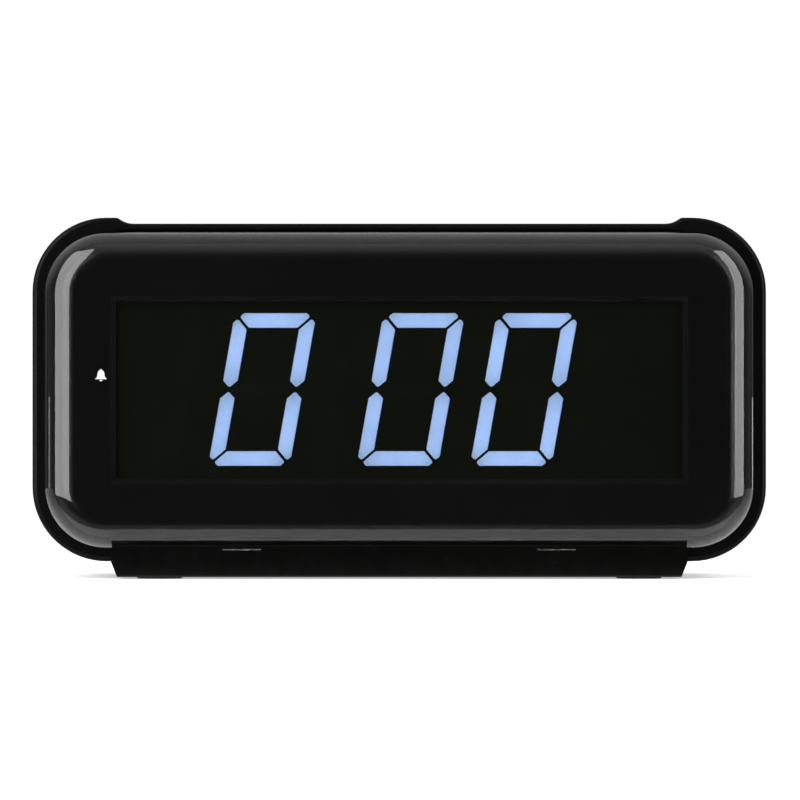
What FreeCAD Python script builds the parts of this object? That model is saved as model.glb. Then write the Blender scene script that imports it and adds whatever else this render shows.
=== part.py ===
import FreeCAD, Part
import math
import os
import Sketcher
from FreeCAD import Placement, Rotation, Vector

# Tabletop digital alarm clock: a rounded sleeve with a clear domed front, a mains-adapter inlet,
# a snooze bar in the top and a setting panel in the back. Millimetres, +Z up, the front faces -Y,
# and the origin is on the table under the middle of the clock.

DIMENSIONS = {
    # sleeve and rear cover
    "case_width": 146.8,
    "case_height": 68.8,
    "case_corner": 14.8,
    "case_base": 3.4,
    "case_wall": 2.0,
    "rim_front": -19.5,
    "rim_lip": 1.5,
    "rim_round": 1.0,
    "seam_plane": 17.0,
    "seam_gap": 0.25,
    "back_plane": 27.0,
    "back_wall": 2.4,
    "back_round": 5.0,
    "tongue_reach": 3.5,
    "tongue_wall": 1.5,
    "fit_gap": 0.15,
    # recess between the shoulders of the sleeve
    "recess_half": 54.6,
    "recess_slope": 1.8,
    "recess_depth": 1.2,
    "recess_round": 4.5,
    "shoulder_round": 1.1,
    # clear front and the mask behind it
    "opening_width": 142.0,
    "opening_height": 63.5,
    "opening_corner": 12.4,
    "opening_level": 37.65,
    "notch_rise": 0.46,
    "lens_front": -27.0,
    "lens_wall": 2.0,
    "lens_round": 6.0,
    "flange_thick": 1.5,
    "gasket_thick": 0.3,
    "mask_gap": 0.3,
    "mask_plate": 1.6,
    "mask_wall": 1.5,
    "window_width": 113.0,
    "window_height": 35.3,
    "window_chamfer": 1.1,
    # display
    "filter_thick": 1.0,
    "display_depth": 8.0,
    "board_thick": 1.6,
    "digit_height": 30.5,
    "digit_width": 16.3,
    "digit_slant": 10.0,
    "digit_level": 37.8,
    "segment_width": 2.95,
    "segment_gap": 0.58,
    "segment_round": 0.45,
    "hours_place": -27.35,
    "digit_pitch": 22.65,
    "colon_step": 6.99,
    "diffuser_thick": 1.0,
    # posts and screws that clamp the rear cover to the mask
    "post_across": 62.0,
    "post_low": 15.5,
    "post_high": 60.0,
    "post_end": 10.0,
    "screw_radius": 1.25,
    # main board
    "main_board_front": 8.0,
    "main_board_half": 58.0,
    "main_board_low": 16.0,
    "main_board_high": 59.0,
    # snooze bar
    "bar_half": 52.6,
    "bar_front": -13.3,
    "bar_back": 11.8,
    "bar_top": 70.9,
    "bar_plate": 1.7,
    "bar_skirt": 66.5,
    "bar_gap": 0.3,
    "bar_travel": 1.5,
    "bracket_low": 61.0,
    "bracket_half": 57.0,
    "bracket_front": -14.7,
    "bracket_back": 13.2,
    "bracket_plate": 1.6,
    "spring_across": 38.0,
    "spring_along": -1.0,
    "spring_radius": 2.6,
    "spring_wire": 0.45,
    # setting panel
    "panel_middle": 33.5,
    "panel_level": 48.0,
    "panel_width": 46.0,
    "panel_height": 28.0,
    "panel_depth": 1.0,
    "button_first": 17.0,
    "button_pitch": 11.0,
    "button_level": 55.0,
    "button_width": 8.0,
    "button_height": 5.0,
    "button_gap": 0.25,
    "button_travel": 0.5,
    "slider_first": 22.5,
    "slider_pitch": 22.0,
    "slider_level": 41.0,
    "slider_travel": 4.0,
    # battery bay and its hinged door
    "bay_left": -57.0,
    "bay_right": -7.0,
    "bay_low": 22.6,
    "bay_high": 46.1,
    "bay_floor": 14.0,
    "bay_wall": 1.2,
    "door_margin": 2.0,
    "door_gap": 0.3,
    "door_thick": 2.2,
    "hinge_pin": 0.7,
    "cell_radius": 5.25,
    "cell_length": 43.5,
    # power inlet
    "jack_across": 50.5,
    "jack_level": 23.0,
    "jack_bore": 2.8,
    "jack_pin": 1.0,
    # foot
    "foot_top_half": 57.45,
    "foot_low_half": 56.25,
    "foot_low": 0.4,
    "foot_front": -25.0,
    "foot_back": 22.0,
    "foot_lip": 6.9,
    "foot_lip_thick": 0.8,
    "foot_block": 5.6,
    "foot_wall": 1.6,
    "foot_pad_radius": 4.5,
    "foot_pad_across": 48.0,
    "foot_screw_across": 40.0,
    "foot_screw_along": 2.0,
}

doc = FreeCAD.newDocument("alarm_clock")
sheet = doc.addObject("Spreadsheet::Sheet", "Dims")
for row, (alias, number) in enumerate(DIMENSIONS.items(), start=1):
    sheet.set(f"A{row}", alias)
    sheet.set(f"B{row}", str(number))
    sheet.setAlias(f"B{row}", alias)
doc.recompute()


class Size:
    """A dimension that knows its number and the spreadsheet expression it comes from."""

    def __init__(self, number, text):
        self.number = number
        self.text = text

    def __add__(self, other):
        other = size(other)
        return Size(self.number + other.number, f"({self.text} + {other.text})")

    def __sub__(self, other):
        other = size(other)
        return Size(self.number - other.number, f"({self.text} - {other.text})")

    def __mul__(self, other):
        other = size(other)
        return Size(self.number * other.number, f"({self.text} * {other.text})")

    def __truediv__(self, other):
        other = size(other)
        return Size(self.number / other.number, f"({self.text} / {other.text})")

    def __radd__(self, other):
        return size(other) + self

    def __rsub__(self, other):
        return size(other) - self

    __rmul__ = __mul__

    def __neg__(self):
        return size(0) - self


def size(value):
    return value if isinstance(value, Size) else Size(float(value), repr(float(value)))


class Sheet:
    """The spreadsheet's aliases as Size attributes."""

    def __getattr__(self, alias):
        return Size(float(sheet.getPropertyByName(alias)), f"Dims.{alias}")


dim = Sheet()
subparts = []


def keep(item, label):
    item.Label = label
    subparts.append(item)
    return item


def bind(item, **properties):
    """Binds properties of an object to sheet expressions; x, y and z are its placement."""
    for name, value in properties.items():
        path = f"Placement.Base.{name}" if name in ("x", "y", "z") else name
        item.setExpression(path, size(value).text)
    return item


# ---------------------------------------------------------------- PartDesign helpers

NORMAL = {"XY_Plane": 1, "XZ_Plane": -1, "YZ_Plane": 1}


def new_body(label):
    return keep(doc.addObject("PartDesign::Body", label), label)


def new_sketch(body, role, place):
    """A sketch on one of the body's own origin planes, moved to place along the plane's axis."""
    plane = next(o for o in body.Origin.OriginFeatures if o.Role == role)
    sketch = body.newObject("Sketcher::SketchObject", "Sketch")
    sketch.AttachmentSupport = [(plane, "")]
    sketch.MapMode = "FlatFace"
    sketch.setExpression("AttachmentOffset.Base.z", (size(place) * NORMAL[role]).text)
    return sketch


def hold(sketch, constraint, value):
    """Adds a driving constraint and binds it to the sheet."""
    number = sketch.addConstraint(constraint)
    name = f"hold{number}"
    sketch.renameConstraint(number, name)
    sketch.setExpression(f"Constraints.{name}", size(value).text)


def hold_point(sketch, item, end, x, y):
    hold(sketch, Sketcher.Constraint("DistanceX", -1, 1, item, end, size(x).number), x)
    hold(sketch, Sketcher.Constraint("DistanceY", -1, 1, item, end, size(y).number), y)


def draw_polygon(sketch, corners):
    numbers = [Vector(size(x).number, size(y).number, 0) for x, y in corners]
    lines = [
        sketch.addGeometry(Part.LineSegment(a, b), False)
        for a, b in zip(numbers, numbers[1:] + numbers[:1])
    ]
    for line, following in zip(lines, lines[1:] + lines[:1]):
        sketch.addConstraint(Sketcher.Constraint("Coincident", line, 2, following, 1))
    for line, (x, y) in zip(lines, corners):
        hold_point(sketch, line, 1, x, y)


def draw_box(sketch, left, right, low, high):
    draw_polygon(sketch, [(left, low), (right, low), (right, high), (left, high)])


def draw_circle(sketch, x, y, radius):
    centre = Vector(size(x).number, size(y).number, 0)
    circle = Part.Circle(centre, Vector(0, 0, 1), size(radius).number)
    item = sketch.addGeometry(circle, False)
    hold(sketch, Sketcher.Constraint("Radius", item, size(radius).number), radius)
    hold_point(sketch, item, 3, x, y)


def draw_round_box(sketch, width, height, corner, x=0, y=0):
    """A rectangle with four equal round corners, centred on x, y."""
    left, right = x - size(width) / 2, x + size(width) / 2
    low, high = y - size(height) / 2, y + size(height) / 2
    x0, x1, y0, y1, r = (v.number for v in (left, right, low, high, size(corner)))
    sides = [
        ((x0 + r, y0), (x1 - r, y0)),
        ((x1, y0 + r), (x1, y1 - r)),
        ((x1 - r, y1), (x0 + r, y1)),
        ((x0, y1 - r), (x0, y0 + r)),
    ]
    centres = [(x1 - r, y0 + r), (x1 - r, y1 - r), (x0 + r, y1 - r), (x0 + r, y0 + r)]
    lines, arcs = [], []
    for turn, ((start, end), centre) in enumerate(zip(sides, centres)):
        lines.append(sketch.addGeometry(Part.LineSegment(Vector(*start), Vector(*end)), False))
        circle = Part.Circle(Vector(*centre), Vector(0, 0, 1), r)
        begin = (turn - 1) * math.pi / 2
        arc = Part.ArcOfCircle(circle, begin, begin + math.pi / 2)
        arcs.append(sketch.addGeometry(arc, False))
    for turn in range(4):
        following = lines[(turn + 1) % 4]
        sketch.addConstraint(Sketcher.Constraint("Tangent", lines[turn], 2, arcs[turn], 1))
        sketch.addConstraint(Sketcher.Constraint("Tangent", arcs[turn], 2, following, 1))
        direction = "Vertical" if turn % 2 else "Horizontal"
        sketch.addConstraint(Sketcher.Constraint(direction, lines[turn]))
    for arc in arcs[1:]:
        sketch.addConstraint(Sketcher.Constraint("Equal", arcs[0], arc))
    hold(sketch, Sketcher.Constraint("Radius", arcs[0], r), corner)
    hold(sketch, Sketcher.Constraint("DistanceX", -1, 1, lines[3], 1, x0), left)
    hold(sketch, Sketcher.Constraint("DistanceX", -1, 1, lines[1], 1, x1), right)
    hold(sketch, Sketcher.Constraint("DistanceY", -1, 1, lines[0], 1, y0), low)
    hold(sketch, Sketcher.Constraint("DistanceY", -1, 1, lines[2], 1, y1), high)


def grow(body, role, start, end, draw):
    """Pads what draw(sketch) draws from start to end along the plane's axis."""
    sketch = new_sketch(body, role, start)
    draw(sketch)
    pad = body.newObject("PartDesign::Pad", "Pad")
    pad.Profile = sketch
    return run_feature(pad, start, end, NORMAL[role])


def carve(body, role, start, end, draw):
    """Pockets what draw(sketch) draws from start to end along the plane's axis."""
    sketch = new_sketch(body, role, start)
    draw(sketch)
    pocket = body.newObject("PartDesign::Pocket", "Pocket")
    pocket.Profile = sketch
    before = body.Shape.Volume
    feature = run_feature(pocket, start, end, -NORMAL[role])
    if not feature.Shape.Volume < before - 1e-6:
        raise RuntimeError(f"{body.Label}: a pocket cuts nothing")
    return feature


def run_feature(feature, start, end, forwards):
    span = size(end) - size(start)
    feature.Reversed = (span.number > 0) != (forwards > 0)
    feature.setExpression("Length", (span if span.number > 0 else -span).text)
    doc.recompute()
    return feature


def dress(body, kind, amount, choose):
    """Rounds or chamfers the edges of the body that choose(edge) picks."""
    base = body.Tip
    names = [
        f"Edge{number}"
        for number, edge in enumerate(base.Shape.Edges, start=1)
        if choose(edge)
    ]
    if not names:
        raise RuntimeError(f"{body.Label}: no edge to dress")
    feature = body.newObject(f"PartDesign::{kind}", kind)
    feature.Base = (base, names)
    feature.setExpression("Radius" if kind == "Fillet" else "Size", size(amount).text)
    doc.recompute()
    return feature


def lies_at(axis, place, low=None, high=None):
    """Picks edges in the plane axis = place, all within the box low to high if given."""
    place = size(place).number

    def choose(edge):
        box = edge.BoundBox
        spans = {"x": (box.XMin, box.XMax), "y": (box.YMin, box.YMax), "z": (box.ZMin, box.ZMax)}
        if max(abs(v - place) for v in spans[axis]) > 1e-3:
            return False
        return inside(box, low, high)

    return choose


def inside(box, low, high):
    if low is None:
        return True
    lows = all(a >= size(b).number for a, b in zip((box.XMin, box.YMin, box.ZMin), low))
    highs = all(a <= size(b).number for a, b in zip((box.XMax, box.YMax, box.ZMax), high))
    return lows and highs


# ---------------------------------------------------------------- Part helpers

TURN = {
    "x": Rotation(Vector(0, 1, 0), 90),
    "y": Rotation(Vector(1, 0, 0), -90),
    "z": Rotation(),
}


def block(x, y, z):
    """A Part::Box between pairs of places along each axis."""
    item = doc.addObject("Part::Box", "Block")
    spans = [(size(a), size(b)) for a, b in (x, y, z)]
    lengths = [b - a for a, b in spans]
    bind(item, Length=lengths[0], Width=lengths[1], Height=lengths[2])
    return bind(item, x=spans[0][0], y=spans[1][0], z=spans[2][0])


def rod(axis, radius, start, end, x=0, y=0, z=0):
    """A Part::Cylinder along an axis from start to end; x, y and z place it across."""
    item = doc.addObject("Part::Cylinder", "Rod")
    item.Placement = Placement(Vector(), TURN[axis])
    where = {"x": x, "y": y, "z": z, axis: start}
    return bind(item, Radius=radius, Height=size(end) - size(start), **where)


def cut(base, *tools):
    item = doc.addObject("Part::Cut", "Cut")
    item.Base = base
    item.Tool = tools[0] if len(tools) == 1 else join(*tools)
    return item


def join(*shapes):
    item = doc.addObject("Part::MultiFuse", "Fusion")
    item.Shapes = list(shapes)
    return item


def group(*shapes):
    """Separate solids of one kind, kept side by side."""
    item = doc.addObject("Part::Compound", "Group")
    item.Links = list(shapes)
    return item


def feature(label, shape):
    item = doc.addObject("Part::Feature", label)
    item.Shape = shape
    return keep(item, label)


def tube_along(points, radius, bend):
    """A round wire along straight runs joined by tangent arcs of radius bend."""
    points = [Vector(*p) for p in points]
    edges, here = [], points[0]
    for before, corner, after in zip(points, points[1:], points[2:]):
        back = (before - corner).normalize()
        ahead = (after - corner).normalize()
        half = back.getAngle(ahead) / 2
        reach = bend / math.tan(half)
        start, end = corner + back * reach, corner + ahead * reach
        bisector = (back + ahead).normalize()
        middle = corner + bisector * (bend / math.sin(half) - bend)
        edges.append(Part.LineSegment(here, start).toShape())
        edges.append(Part.Arc(start, middle, end).toShape())
        here = end
    edges.append(Part.LineSegment(here, points[-1]).toShape())
    path = Part.Wire(edges)
    circle = Part.Circle(points[0], points[1] - points[0], radius).toShape()
    return path.makePipeShell([Part.Wire(circle)], True, False)


# ---------------------------------------------------------------- outlines shared by parts

CASE_LEVEL = dim.case_base + dim.case_height / 2
CASE_TOP = dim.case_base + dim.case_height
RECESS_FLOOR = CASE_TOP - dim.recess_depth
ROOF_UNDER = RECESS_FLOOR - 1.8
LIP_BACK = dim.rim_front + dim.rim_lip
FLANGE_BACK = LIP_BACK + dim.flange_thick
MASK_FRONT = dim.lens_front + dim.lens_wall + dim.mask_gap
MASK_BACK = FLANGE_BACK + dim.gasket_thick
MASK_SEAT = MASK_FRONT + dim.mask_plate
FILTER_BACK = MASK_SEAT + dim.filter_thick
DISPLAY_FRONT = FILTER_BACK + 0.1
DISPLAY_BACK = DISPLAY_FRONT + dim.display_depth
DISPLAY_BOARD_BACK = DISPLAY_BACK + dim.board_thick
MAIN_BOARD_BACK = dim.main_board_front + dim.board_thick
BACK_INNER = dim.back_plane - dim.back_wall


def case_outline(inset):
    """The sleeve's outline, drawn inwards by inset."""

    def draw(sketch):
        draw_round_box(
            sketch,
            dim.case_width - inset * 2,
            dim.case_height - inset * 2,
            dim.case_corner - inset,
            y=CASE_LEVEL,
        )

    return draw


def opening_outline(inset):
    """The front opening's outline, drawn inwards by inset."""

    def draw(sketch):
        draw_round_box(
            sketch,
            dim.opening_width - size(inset) * 2,
            dim.opening_height - size(inset) * 2,
            dim.opening_corner - inset,
            y=dim.opening_level,
        )

    return draw


def recess_outline(sketch):
    """The shallow recess that runs along the top between the shoulders."""
    half = dim.recess_half
    shoulder = half + dim.recess_slope
    above = CASE_TOP + 2
    draw_polygon(
        sketch,
        [
            (-half, RECESS_FLOOR),
            (half, RECESS_FLOOR),
            (shoulder, CASE_TOP),
            (shoulder, above),
            (-shoulder, above),
            (-shoulder, CASE_TOP),
        ],
    )


def post_places():
    return [
        (dim.post_across * side, level)
        for side in (-1, 1)
        for level in (dim.post_low, dim.post_high)
    ]


def at_posts(radius):
    def draw(sketch):
        for x, z in post_places():
            draw_circle(sketch, x, z, radius)

    return draw


# ---------------------------------------------------------------- sleeve and covers


def make_housing_shell():
    body = new_body("housing_shell")
    front, back = dim.rim_front, dim.seam_plane
    grow(body, "XZ_Plane", front, back, case_outline(0))
    carve(body, "XZ_Plane", back, LIP_BACK, case_outline(dim.case_wall))
    carve(body, "XZ_Plane", front, LIP_BACK, opening_outline(0))
    carve(body, "XZ_Plane", front, back, recess_outline)
    round_recess(body)
    limit = (dim.opening_width / 2 + 0.6).number
    level = dim.opening_level.number
    reach = (dim.opening_height / 2 + 0.6).number

    def outer(edge):
        box = edge.BoundBox
        if not lies_at("y", front)(edge):
            return False
        wide = max(abs(box.XMin), abs(box.XMax)) > limit
        tall = max(abs(box.ZMin - level), abs(box.ZMax - level)) > reach
        return wide or tall

    dress(body, "Fillet", dim.rim_round, outer)
    notch_low = dim.opening_level + dim.opening_height / 2
    notch = dim.recess_half - 0.3

    def notch_outline(sketch):
        wide = notch + 3.4
        draw_polygon(
            sketch,
            [
                (-wide, notch_low - 1),
                (wide, notch_low - 1),
                (wide, notch_low),
                (notch, notch_low + dim.notch_rise),
                (-notch, notch_low + dim.notch_rise),
                (-wide, notch_low),
            ],
        )

    carve(body, "XZ_Plane", front, LIP_BACK, notch_outline)

    def bar_opening(sketch):
        draw_round_box(
            sketch,
            (dim.bar_half + dim.bar_gap) * 2,
            dim.bar_back - dim.bar_front + dim.bar_gap * 2,
            1.6,
            y=(dim.bar_back + dim.bar_front) / 2,
        )

    ceiling = CASE_TOP - dim.case_wall
    rail = dim.bracket_half + 0.15
    foot = dim.bracket_low - 0.1

    outer = rail + 1.4

    def roof(sketch):
        draw_box(sketch, -outer, outer, ROOF_UNDER, ceiling + 0.3)

    def rails(sketch):
        """A hanging L-shaped rail under each end of the snooze bracket."""
        for side in (-1, 1):
            corners = [
                (outer, ROOF_UNDER + 0.3),
                (outer, foot - 1.2),
                (rail - 2.4, foot - 1.2),
                (rail - 2.4, foot),
                (rail, foot),
                (rail, ROOF_UNDER + 0.3),
            ]
            draw_polygon(sketch, [(x * side, z) for x, z in corners])

    front = dim.bracket_front - 0.2
    grow(body, "XZ_Plane", front, dim.bracket_back + 0.1, roof)
    grow(body, "XZ_Plane", front, dim.post_end - 0.4, rails)
    carve(body, "XY_Plane", CASE_TOP, CASE_TOP - 5, bar_opening)
    inner = dim.case_base + dim.case_wall

    def at_foot_screws(radius):
        def draw(sketch):
            for side in (-1, 1):
                draw_circle(sketch, dim.foot_screw_across * side, dim.foot_screw_along, radius)

        return draw

    grow(body, "XY_Plane", inner - 0.5, inner + 5.5, at_foot_screws(3.2))
    carve(body, "XY_Plane", dim.case_base, inner + 4.5, at_foot_screws(dim.screw_radius))


def round_recess(body):
    """Rounds the inner and outer edges of the recess's two slopes."""

    def along(place, level):
        def choose(edge):
            box = edge.BoundBox
            straight = box.YLength > 3 and box.XLength < 0.01
            at_place = abs(abs(box.XMin) - place.number) < 0.01
            return straight and at_place and abs(box.ZMax - level.number) < 0.01

        return choose

    dress(body, "Fillet", dim.recess_round, along(dim.recess_half, RECESS_FLOOR))
    shoulder = dim.recess_half + dim.recess_slope
    dress(body, "Fillet", dim.shoulder_round, along(shoulder, CASE_TOP))


def make_rear_cover():
    body = new_body("rear_cover")
    start = dim.seam_plane + dim.seam_gap
    back = dim.back_plane
    grow(body, "XZ_Plane", start, back, case_outline(0))
    dress(body, "Fillet", dim.back_round, lies_at("y", back))
    tongue = dim.seam_plane - dim.tongue_reach
    snug = dim.case_wall + dim.fit_gap
    grow(body, "XZ_Plane", tongue, start, case_outline(snug))
    carve(body, "XZ_Plane", tongue, BACK_INNER, case_outline(snug + dim.tongue_wall))
    dress(body, "Fillet", 2.5, lies_at("y", BACK_INNER))
    carve(body, "XZ_Plane", start, back, recess_outline)
    round_recess(body)
    make_bay(body)
    make_panel(body)
    make_vents(body)
    grow(body, "XZ_Plane", BACK_INNER + 0.5, dim.post_end + 0.1, at_posts(4.6))
    carve(body, "XZ_Plane", back, dim.post_end + 2.2, at_posts(3.4))
    carve(body, "XZ_Plane", dim.post_end + 2.2, dim.post_end + 0.1, at_posts(1.5))

    def board_posts(radius):
        def draw(sketch):
            for x, z in board_screw_places():
                draw_circle(sketch, x, z, radius)

        return draw

    grow(body, "XZ_Plane", BACK_INNER + 0.5, MAIN_BOARD_BACK, board_posts(2.4))
    carve(body, "XZ_Plane", MAIN_BOARD_BACK, MAIN_BOARD_BACK + 8, board_posts(0.95))


def board_screw_places():
    return [(2.5, 48.5), (2.5, 20.5), (54.5, 33.5), (-54.5, 53.5), (-54.5, 18.4)]


def door_box(margin):
    """The battery door's left, right, low and high, grown by margin."""
    reach = dim.door_margin + margin
    return (
        dim.bay_left - reach,
        dim.bay_right + reach,
        dim.bay_low - reach,
        dim.bay_high + reach,
    )


def make_bay(body):
    """Battery bay in the rear cover, with the seat and hinge holes of its door."""
    left, right = dim.bay_left, dim.bay_right
    low, high = dim.bay_low, dim.bay_high
    wall = dim.bay_wall
    inner = BACK_INNER + 0.5
    rim = door_box(1.6)

    def walls(sketch):
        draw_box(sketch, left - wall, right + wall, low - wall, high + wall)

    grow(body, "XZ_Plane", inner, dim.bay_floor - wall, walls)
    grow(body, "XZ_Plane", inner, BACK_INNER - 2, lambda sketch: draw_box(sketch, *rim))
    carve(
        body,
        "XZ_Plane",
        dim.back_plane,
        dim.bay_floor,
        lambda sketch: draw_box(sketch, left, right, low, high),
    )
    seat = door_box(dim.door_gap)
    carve(
        body,
        "XZ_Plane",
        dim.back_plane,
        dim.back_plane - dim.door_thick - 0.15,
        lambda sketch: draw_box(sketch, *seat),
    )
    axis_y, axis_z = hinge_axis()
    carve(
        body,
        "YZ_Plane",
        seat[0] - 1.3,
        seat[1] + 1.3,
        lambda sketch: draw_circle(sketch, axis_y, axis_z, dim.hinge_pin + 0.07),
    )

    def wire_holes(sketch):
        for level in WIRE_LEVELS:
            draw_circle(sketch, WIRE_ALONG, level, 0.75)

    carve(body, "YZ_Plane", right - 0.5, right + wall + 0.5, wire_holes)


WIRE_ALONG = 18.0
WIRE_LEVELS = (39.5, 28.0)


def hinge_axis():
    """The battery door's hinge axis, in the middle of its rounded lower edge."""
    half = dim.door_thick / 2
    return dim.back_plane - half, door_box(0)[2] + half


def make_panel(body):
    """Shallow panel in the rear cover with holes for buttons, sliders, inlet and sound."""
    back = dim.back_plane
    floor = back - dim.panel_depth
    carve(
        body,
        "XZ_Plane",
        back,
        floor,
        lambda sketch: draw_round_box(
            sketch, dim.panel_width, dim.panel_height, 3.0, dim.panel_middle, dim.panel_level
        ),
    )

    def button_holes(sketch):
        for x in button_places():
            draw_round_box(
                sketch,
                dim.button_width + dim.button_gap * 2,
                dim.button_height + dim.button_gap * 2,
                1.5,
                x,
                dim.button_level,
            )

    carve(body, "XZ_Plane", back, BACK_INNER - 1, button_holes)

    def slider_slots(sketch):
        for x in slider_places():
            draw_round_box(sketch, 4.2 + dim.slider_travel, 3.6, 0.5, x, dim.slider_level)

    carve(body, "XZ_Plane", back, BACK_INNER - 1, slider_slots)
    carve(
        body,
        "XZ_Plane",
        back,
        BACK_INNER - 1,
        lambda sketch: draw_circle(sketch, dim.jack_across, dim.jack_level, 4.3),
    )

    def sound_holes(sketch):
        for x, z in sound_hole_places():
            draw_circle(sketch, x, z, 0.7)

    carve(body, "XZ_Plane", back, BACK_INNER - 1, sound_holes)


def button_places():
    return [dim.button_first + dim.button_pitch * number for number in range(4)]


def slider_places():
    return [dim.slider_first + dim.slider_pitch * number for number in range(2)]


BUZZER_ACROSS = 27.0
BUZZER_LEVEL = 22.5


def sound_hole_places():
    """A middle hole with rings of six and twelve around it."""
    places = [(BUZZER_ACROSS, BUZZER_LEVEL)]
    for count, ring in ((6, 2.6), (12, 5.2)):
        for number in range(count):
            angle = 2 * math.pi * number / count
            x = BUZZER_ACROSS + ring * math.cos(angle)
            places.append((x, BUZZER_LEVEL + ring * math.sin(angle)))
    return places


def make_vents(body):
    def slots(sketch):
        for number in range(10):
            draw_round_box(sketch, 1.8, 8.0, 0.85, -48.0 + 4.2 * number, 57.5)

    carve(body, "XZ_Plane", dim.back_plane, BACK_INNER - 1, slots)


# ---------------------------------------------------------------- front


def make_front_lens():
    body = new_body("front_lens")
    gap = 0.1
    grow(body, "XZ_Plane", LIP_BACK, dim.lens_front, opening_outline(gap))
    dress(body, "Fillet", dim.lens_round, lies_at("y", dim.lens_front))
    grow(body, "XZ_Plane", LIP_BACK, FLANGE_BACK, opening_outline(-0.3))
    inner = dim.lens_front + dim.lens_wall
    carve(body, "XZ_Plane", FLANGE_BACK, inner, opening_outline(dim.lens_wall + gap))
    dress(body, "Fillet", dim.lens_round - dim.lens_wall, lies_at("y", inner))


def make_lens_gasket():
    body = new_body("lens_gasket")
    grow(body, "XZ_Plane", FLANGE_BACK, MASK_BACK, opening_outline(-0.1))
    carve(body, "XZ_Plane", FLANGE_BACK, MASK_BACK, opening_outline(dim.lens_wall + 0.1))


def make_bezel_mask():
    body = new_body("bezel_mask")
    inset = dim.lens_wall + 0.4
    back = MASK_BACK + 1.0
    grow(body, "XZ_Plane", back, MASK_FRONT, opening_outline(inset))
    dress(body, "Fillet", dim.lens_round - inset, lies_at("y", MASK_FRONT))
    grow(body, "XZ_Plane", MASK_BACK, back, opening_outline(-0.1))
    carve(body, "XZ_Plane", back, MASK_SEAT, opening_outline(inset + dim.mask_wall))
    dress(body, "Fillet", 2.0, lies_at("y", MASK_SEAT))
    half_w, half_h = dim.window_width / 2, dim.window_height / 2
    low, high = dim.opening_level - half_h, dim.opening_level + half_h
    carve(
        body,
        "XZ_Plane",
        MASK_FRONT,
        MASK_SEAT,
        lambda sketch: draw_box(sketch, -half_w, half_w, low, high),
    )
    box_low = (-half_w - 0.01, MASK_FRONT - 1, low - 0.01)
    box_high = (half_w + 0.01, MASK_FRONT + 1, high + 0.01)
    window_edges = lies_at("y", MASK_FRONT, box_low, box_high)
    dress(body, "Chamfer", dim.window_chamfer, window_edges)
    grow(body, "XZ_Plane", MASK_SEAT - 0.4, dim.post_end, at_posts(3.0))
    carve(body, "XZ_Plane", dim.post_end, dim.post_end - 14, at_posts(dim.screw_radius))

    def display_pegs(radius):
        def draw(sketch):
            for x, z in display_screw_places():
                draw_circle(sketch, x, z, radius)

        return draw

    grow(body, "XZ_Plane", MASK_SEAT - 0.4, DISPLAY_BACK, display_pegs(2.0))
    carve(body, "XZ_Plane", DISPLAY_BACK, DISPLAY_BACK - 6, display_pegs(0.9))


def display_screw_places():
    return [(60.2 * side, 37.65 + step) for side in (-1, 1) for step in (-8.0, 8.0)]


# ---------------------------------------------------------------- display


def display_box():
    half_w = dim.window_width / 2 + 0.9
    half_h = dim.window_height / 2 + 0.9
    return (-half_w, half_w), (dim.opening_level - half_h, dim.opening_level + half_h)


def make_display_filter():
    x, z = display_box()
    keep(block(x, (MASK_SEAT, FILTER_BACK), z), "display_filter")


def slanted(x, z, place):
    """A point of an upright digit, leaned over and moved to its place in the display."""
    lean = math.tan(math.radians(dim.digit_slant.number))
    return Vector(place + x + z * lean, 0, dim.digit_level.number + z)


def segment_outlines(place):
    """The seven segments of a digit, a to g, as lists of points in the front plane."""
    high, wide = dim.digit_height.number / 2, dim.digit_width.number / 2
    thick, gap = dim.segment_width.number, dim.segment_gap.number
    tip = thick / 2
    nip = 0.55
    across = wide - nip - gap

    def level_bar(z, grow_to):
        """A bar whose outer edge is at z, with mitred ends; grow_to is the inner side."""
        return [
            (-across + 0.75, z),
            (across - 0.75, z),
            (across, z + 0.75 * grow_to),
            (across - thick + 0.75, z + thick * grow_to),
            (-across + thick - 0.75, z + thick * grow_to),
            (-across, z + 0.75 * grow_to),
        ]

    def upright_bar(side, up):
        """A bar on one side and in one half, pointed at the middle and mitred at the end."""
        outer, inner = side * wide, side * (wide - thick)
        near, far = 0.4 * up, (high - nip - gap) * up
        return [
            (side * (wide - tip), near),
            (outer, near + tip * 0.95 * up),
            (outer, far - 0.75 * up),
            (side * (wide - 0.75), far),
            (inner, far - (thick - 0.75) * up),
            (inner, near + tip * 0.95 * up),
        ]

    middle = [
        (-wide + tip + 0.6, 0),
        (-wide + tip * 2 + 0.4, tip - 0.15),
        (wide - tip * 2 - 0.4, tip - 0.15),
        (wide - tip - 0.6, 0),
        (wide - tip * 2 - 0.4, -tip + 0.15),
        (-wide + tip * 2 + 0.4, -tip + 0.15),
    ]
    upright = {
        "a": level_bar(high, -1),
        "b": upright_bar(1, 1),
        "c": upright_bar(1, -1),
        "d": level_bar(-high, 1),
        "e": upright_bar(-1, -1),
        "f": upright_bar(-1, 1),
        "g": middle,
    }
    return {name: [slanted(x, z, place) for x, z in points] for name, points in upright.items()}


def prism(points, start, end):
    """A solid of that outline from start to end along Y."""
    outline = Part.makePolygon([*points, points[0]])
    face = Part.Face(outline)
    face.translate(Vector(0, start, 0))
    return face.extrude(Vector(0, end - start, 0))


def bar_prism(points, start, end):
    """A segment's solid, with its corners rounded."""
    solid = prism(points, start, end)
    corners = [edge for edge in solid.Edges if abs(edge.tangentAt(edge.FirstParameter).y) > 0.99]
    return solid.makeFillet(dim.segment_round.number, corners)


def disc(place, level, radius, start, end):
    return Part.makeCylinder(radius, end - start, Vector(place, start, level), Vector(0, 1, 0))


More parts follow.
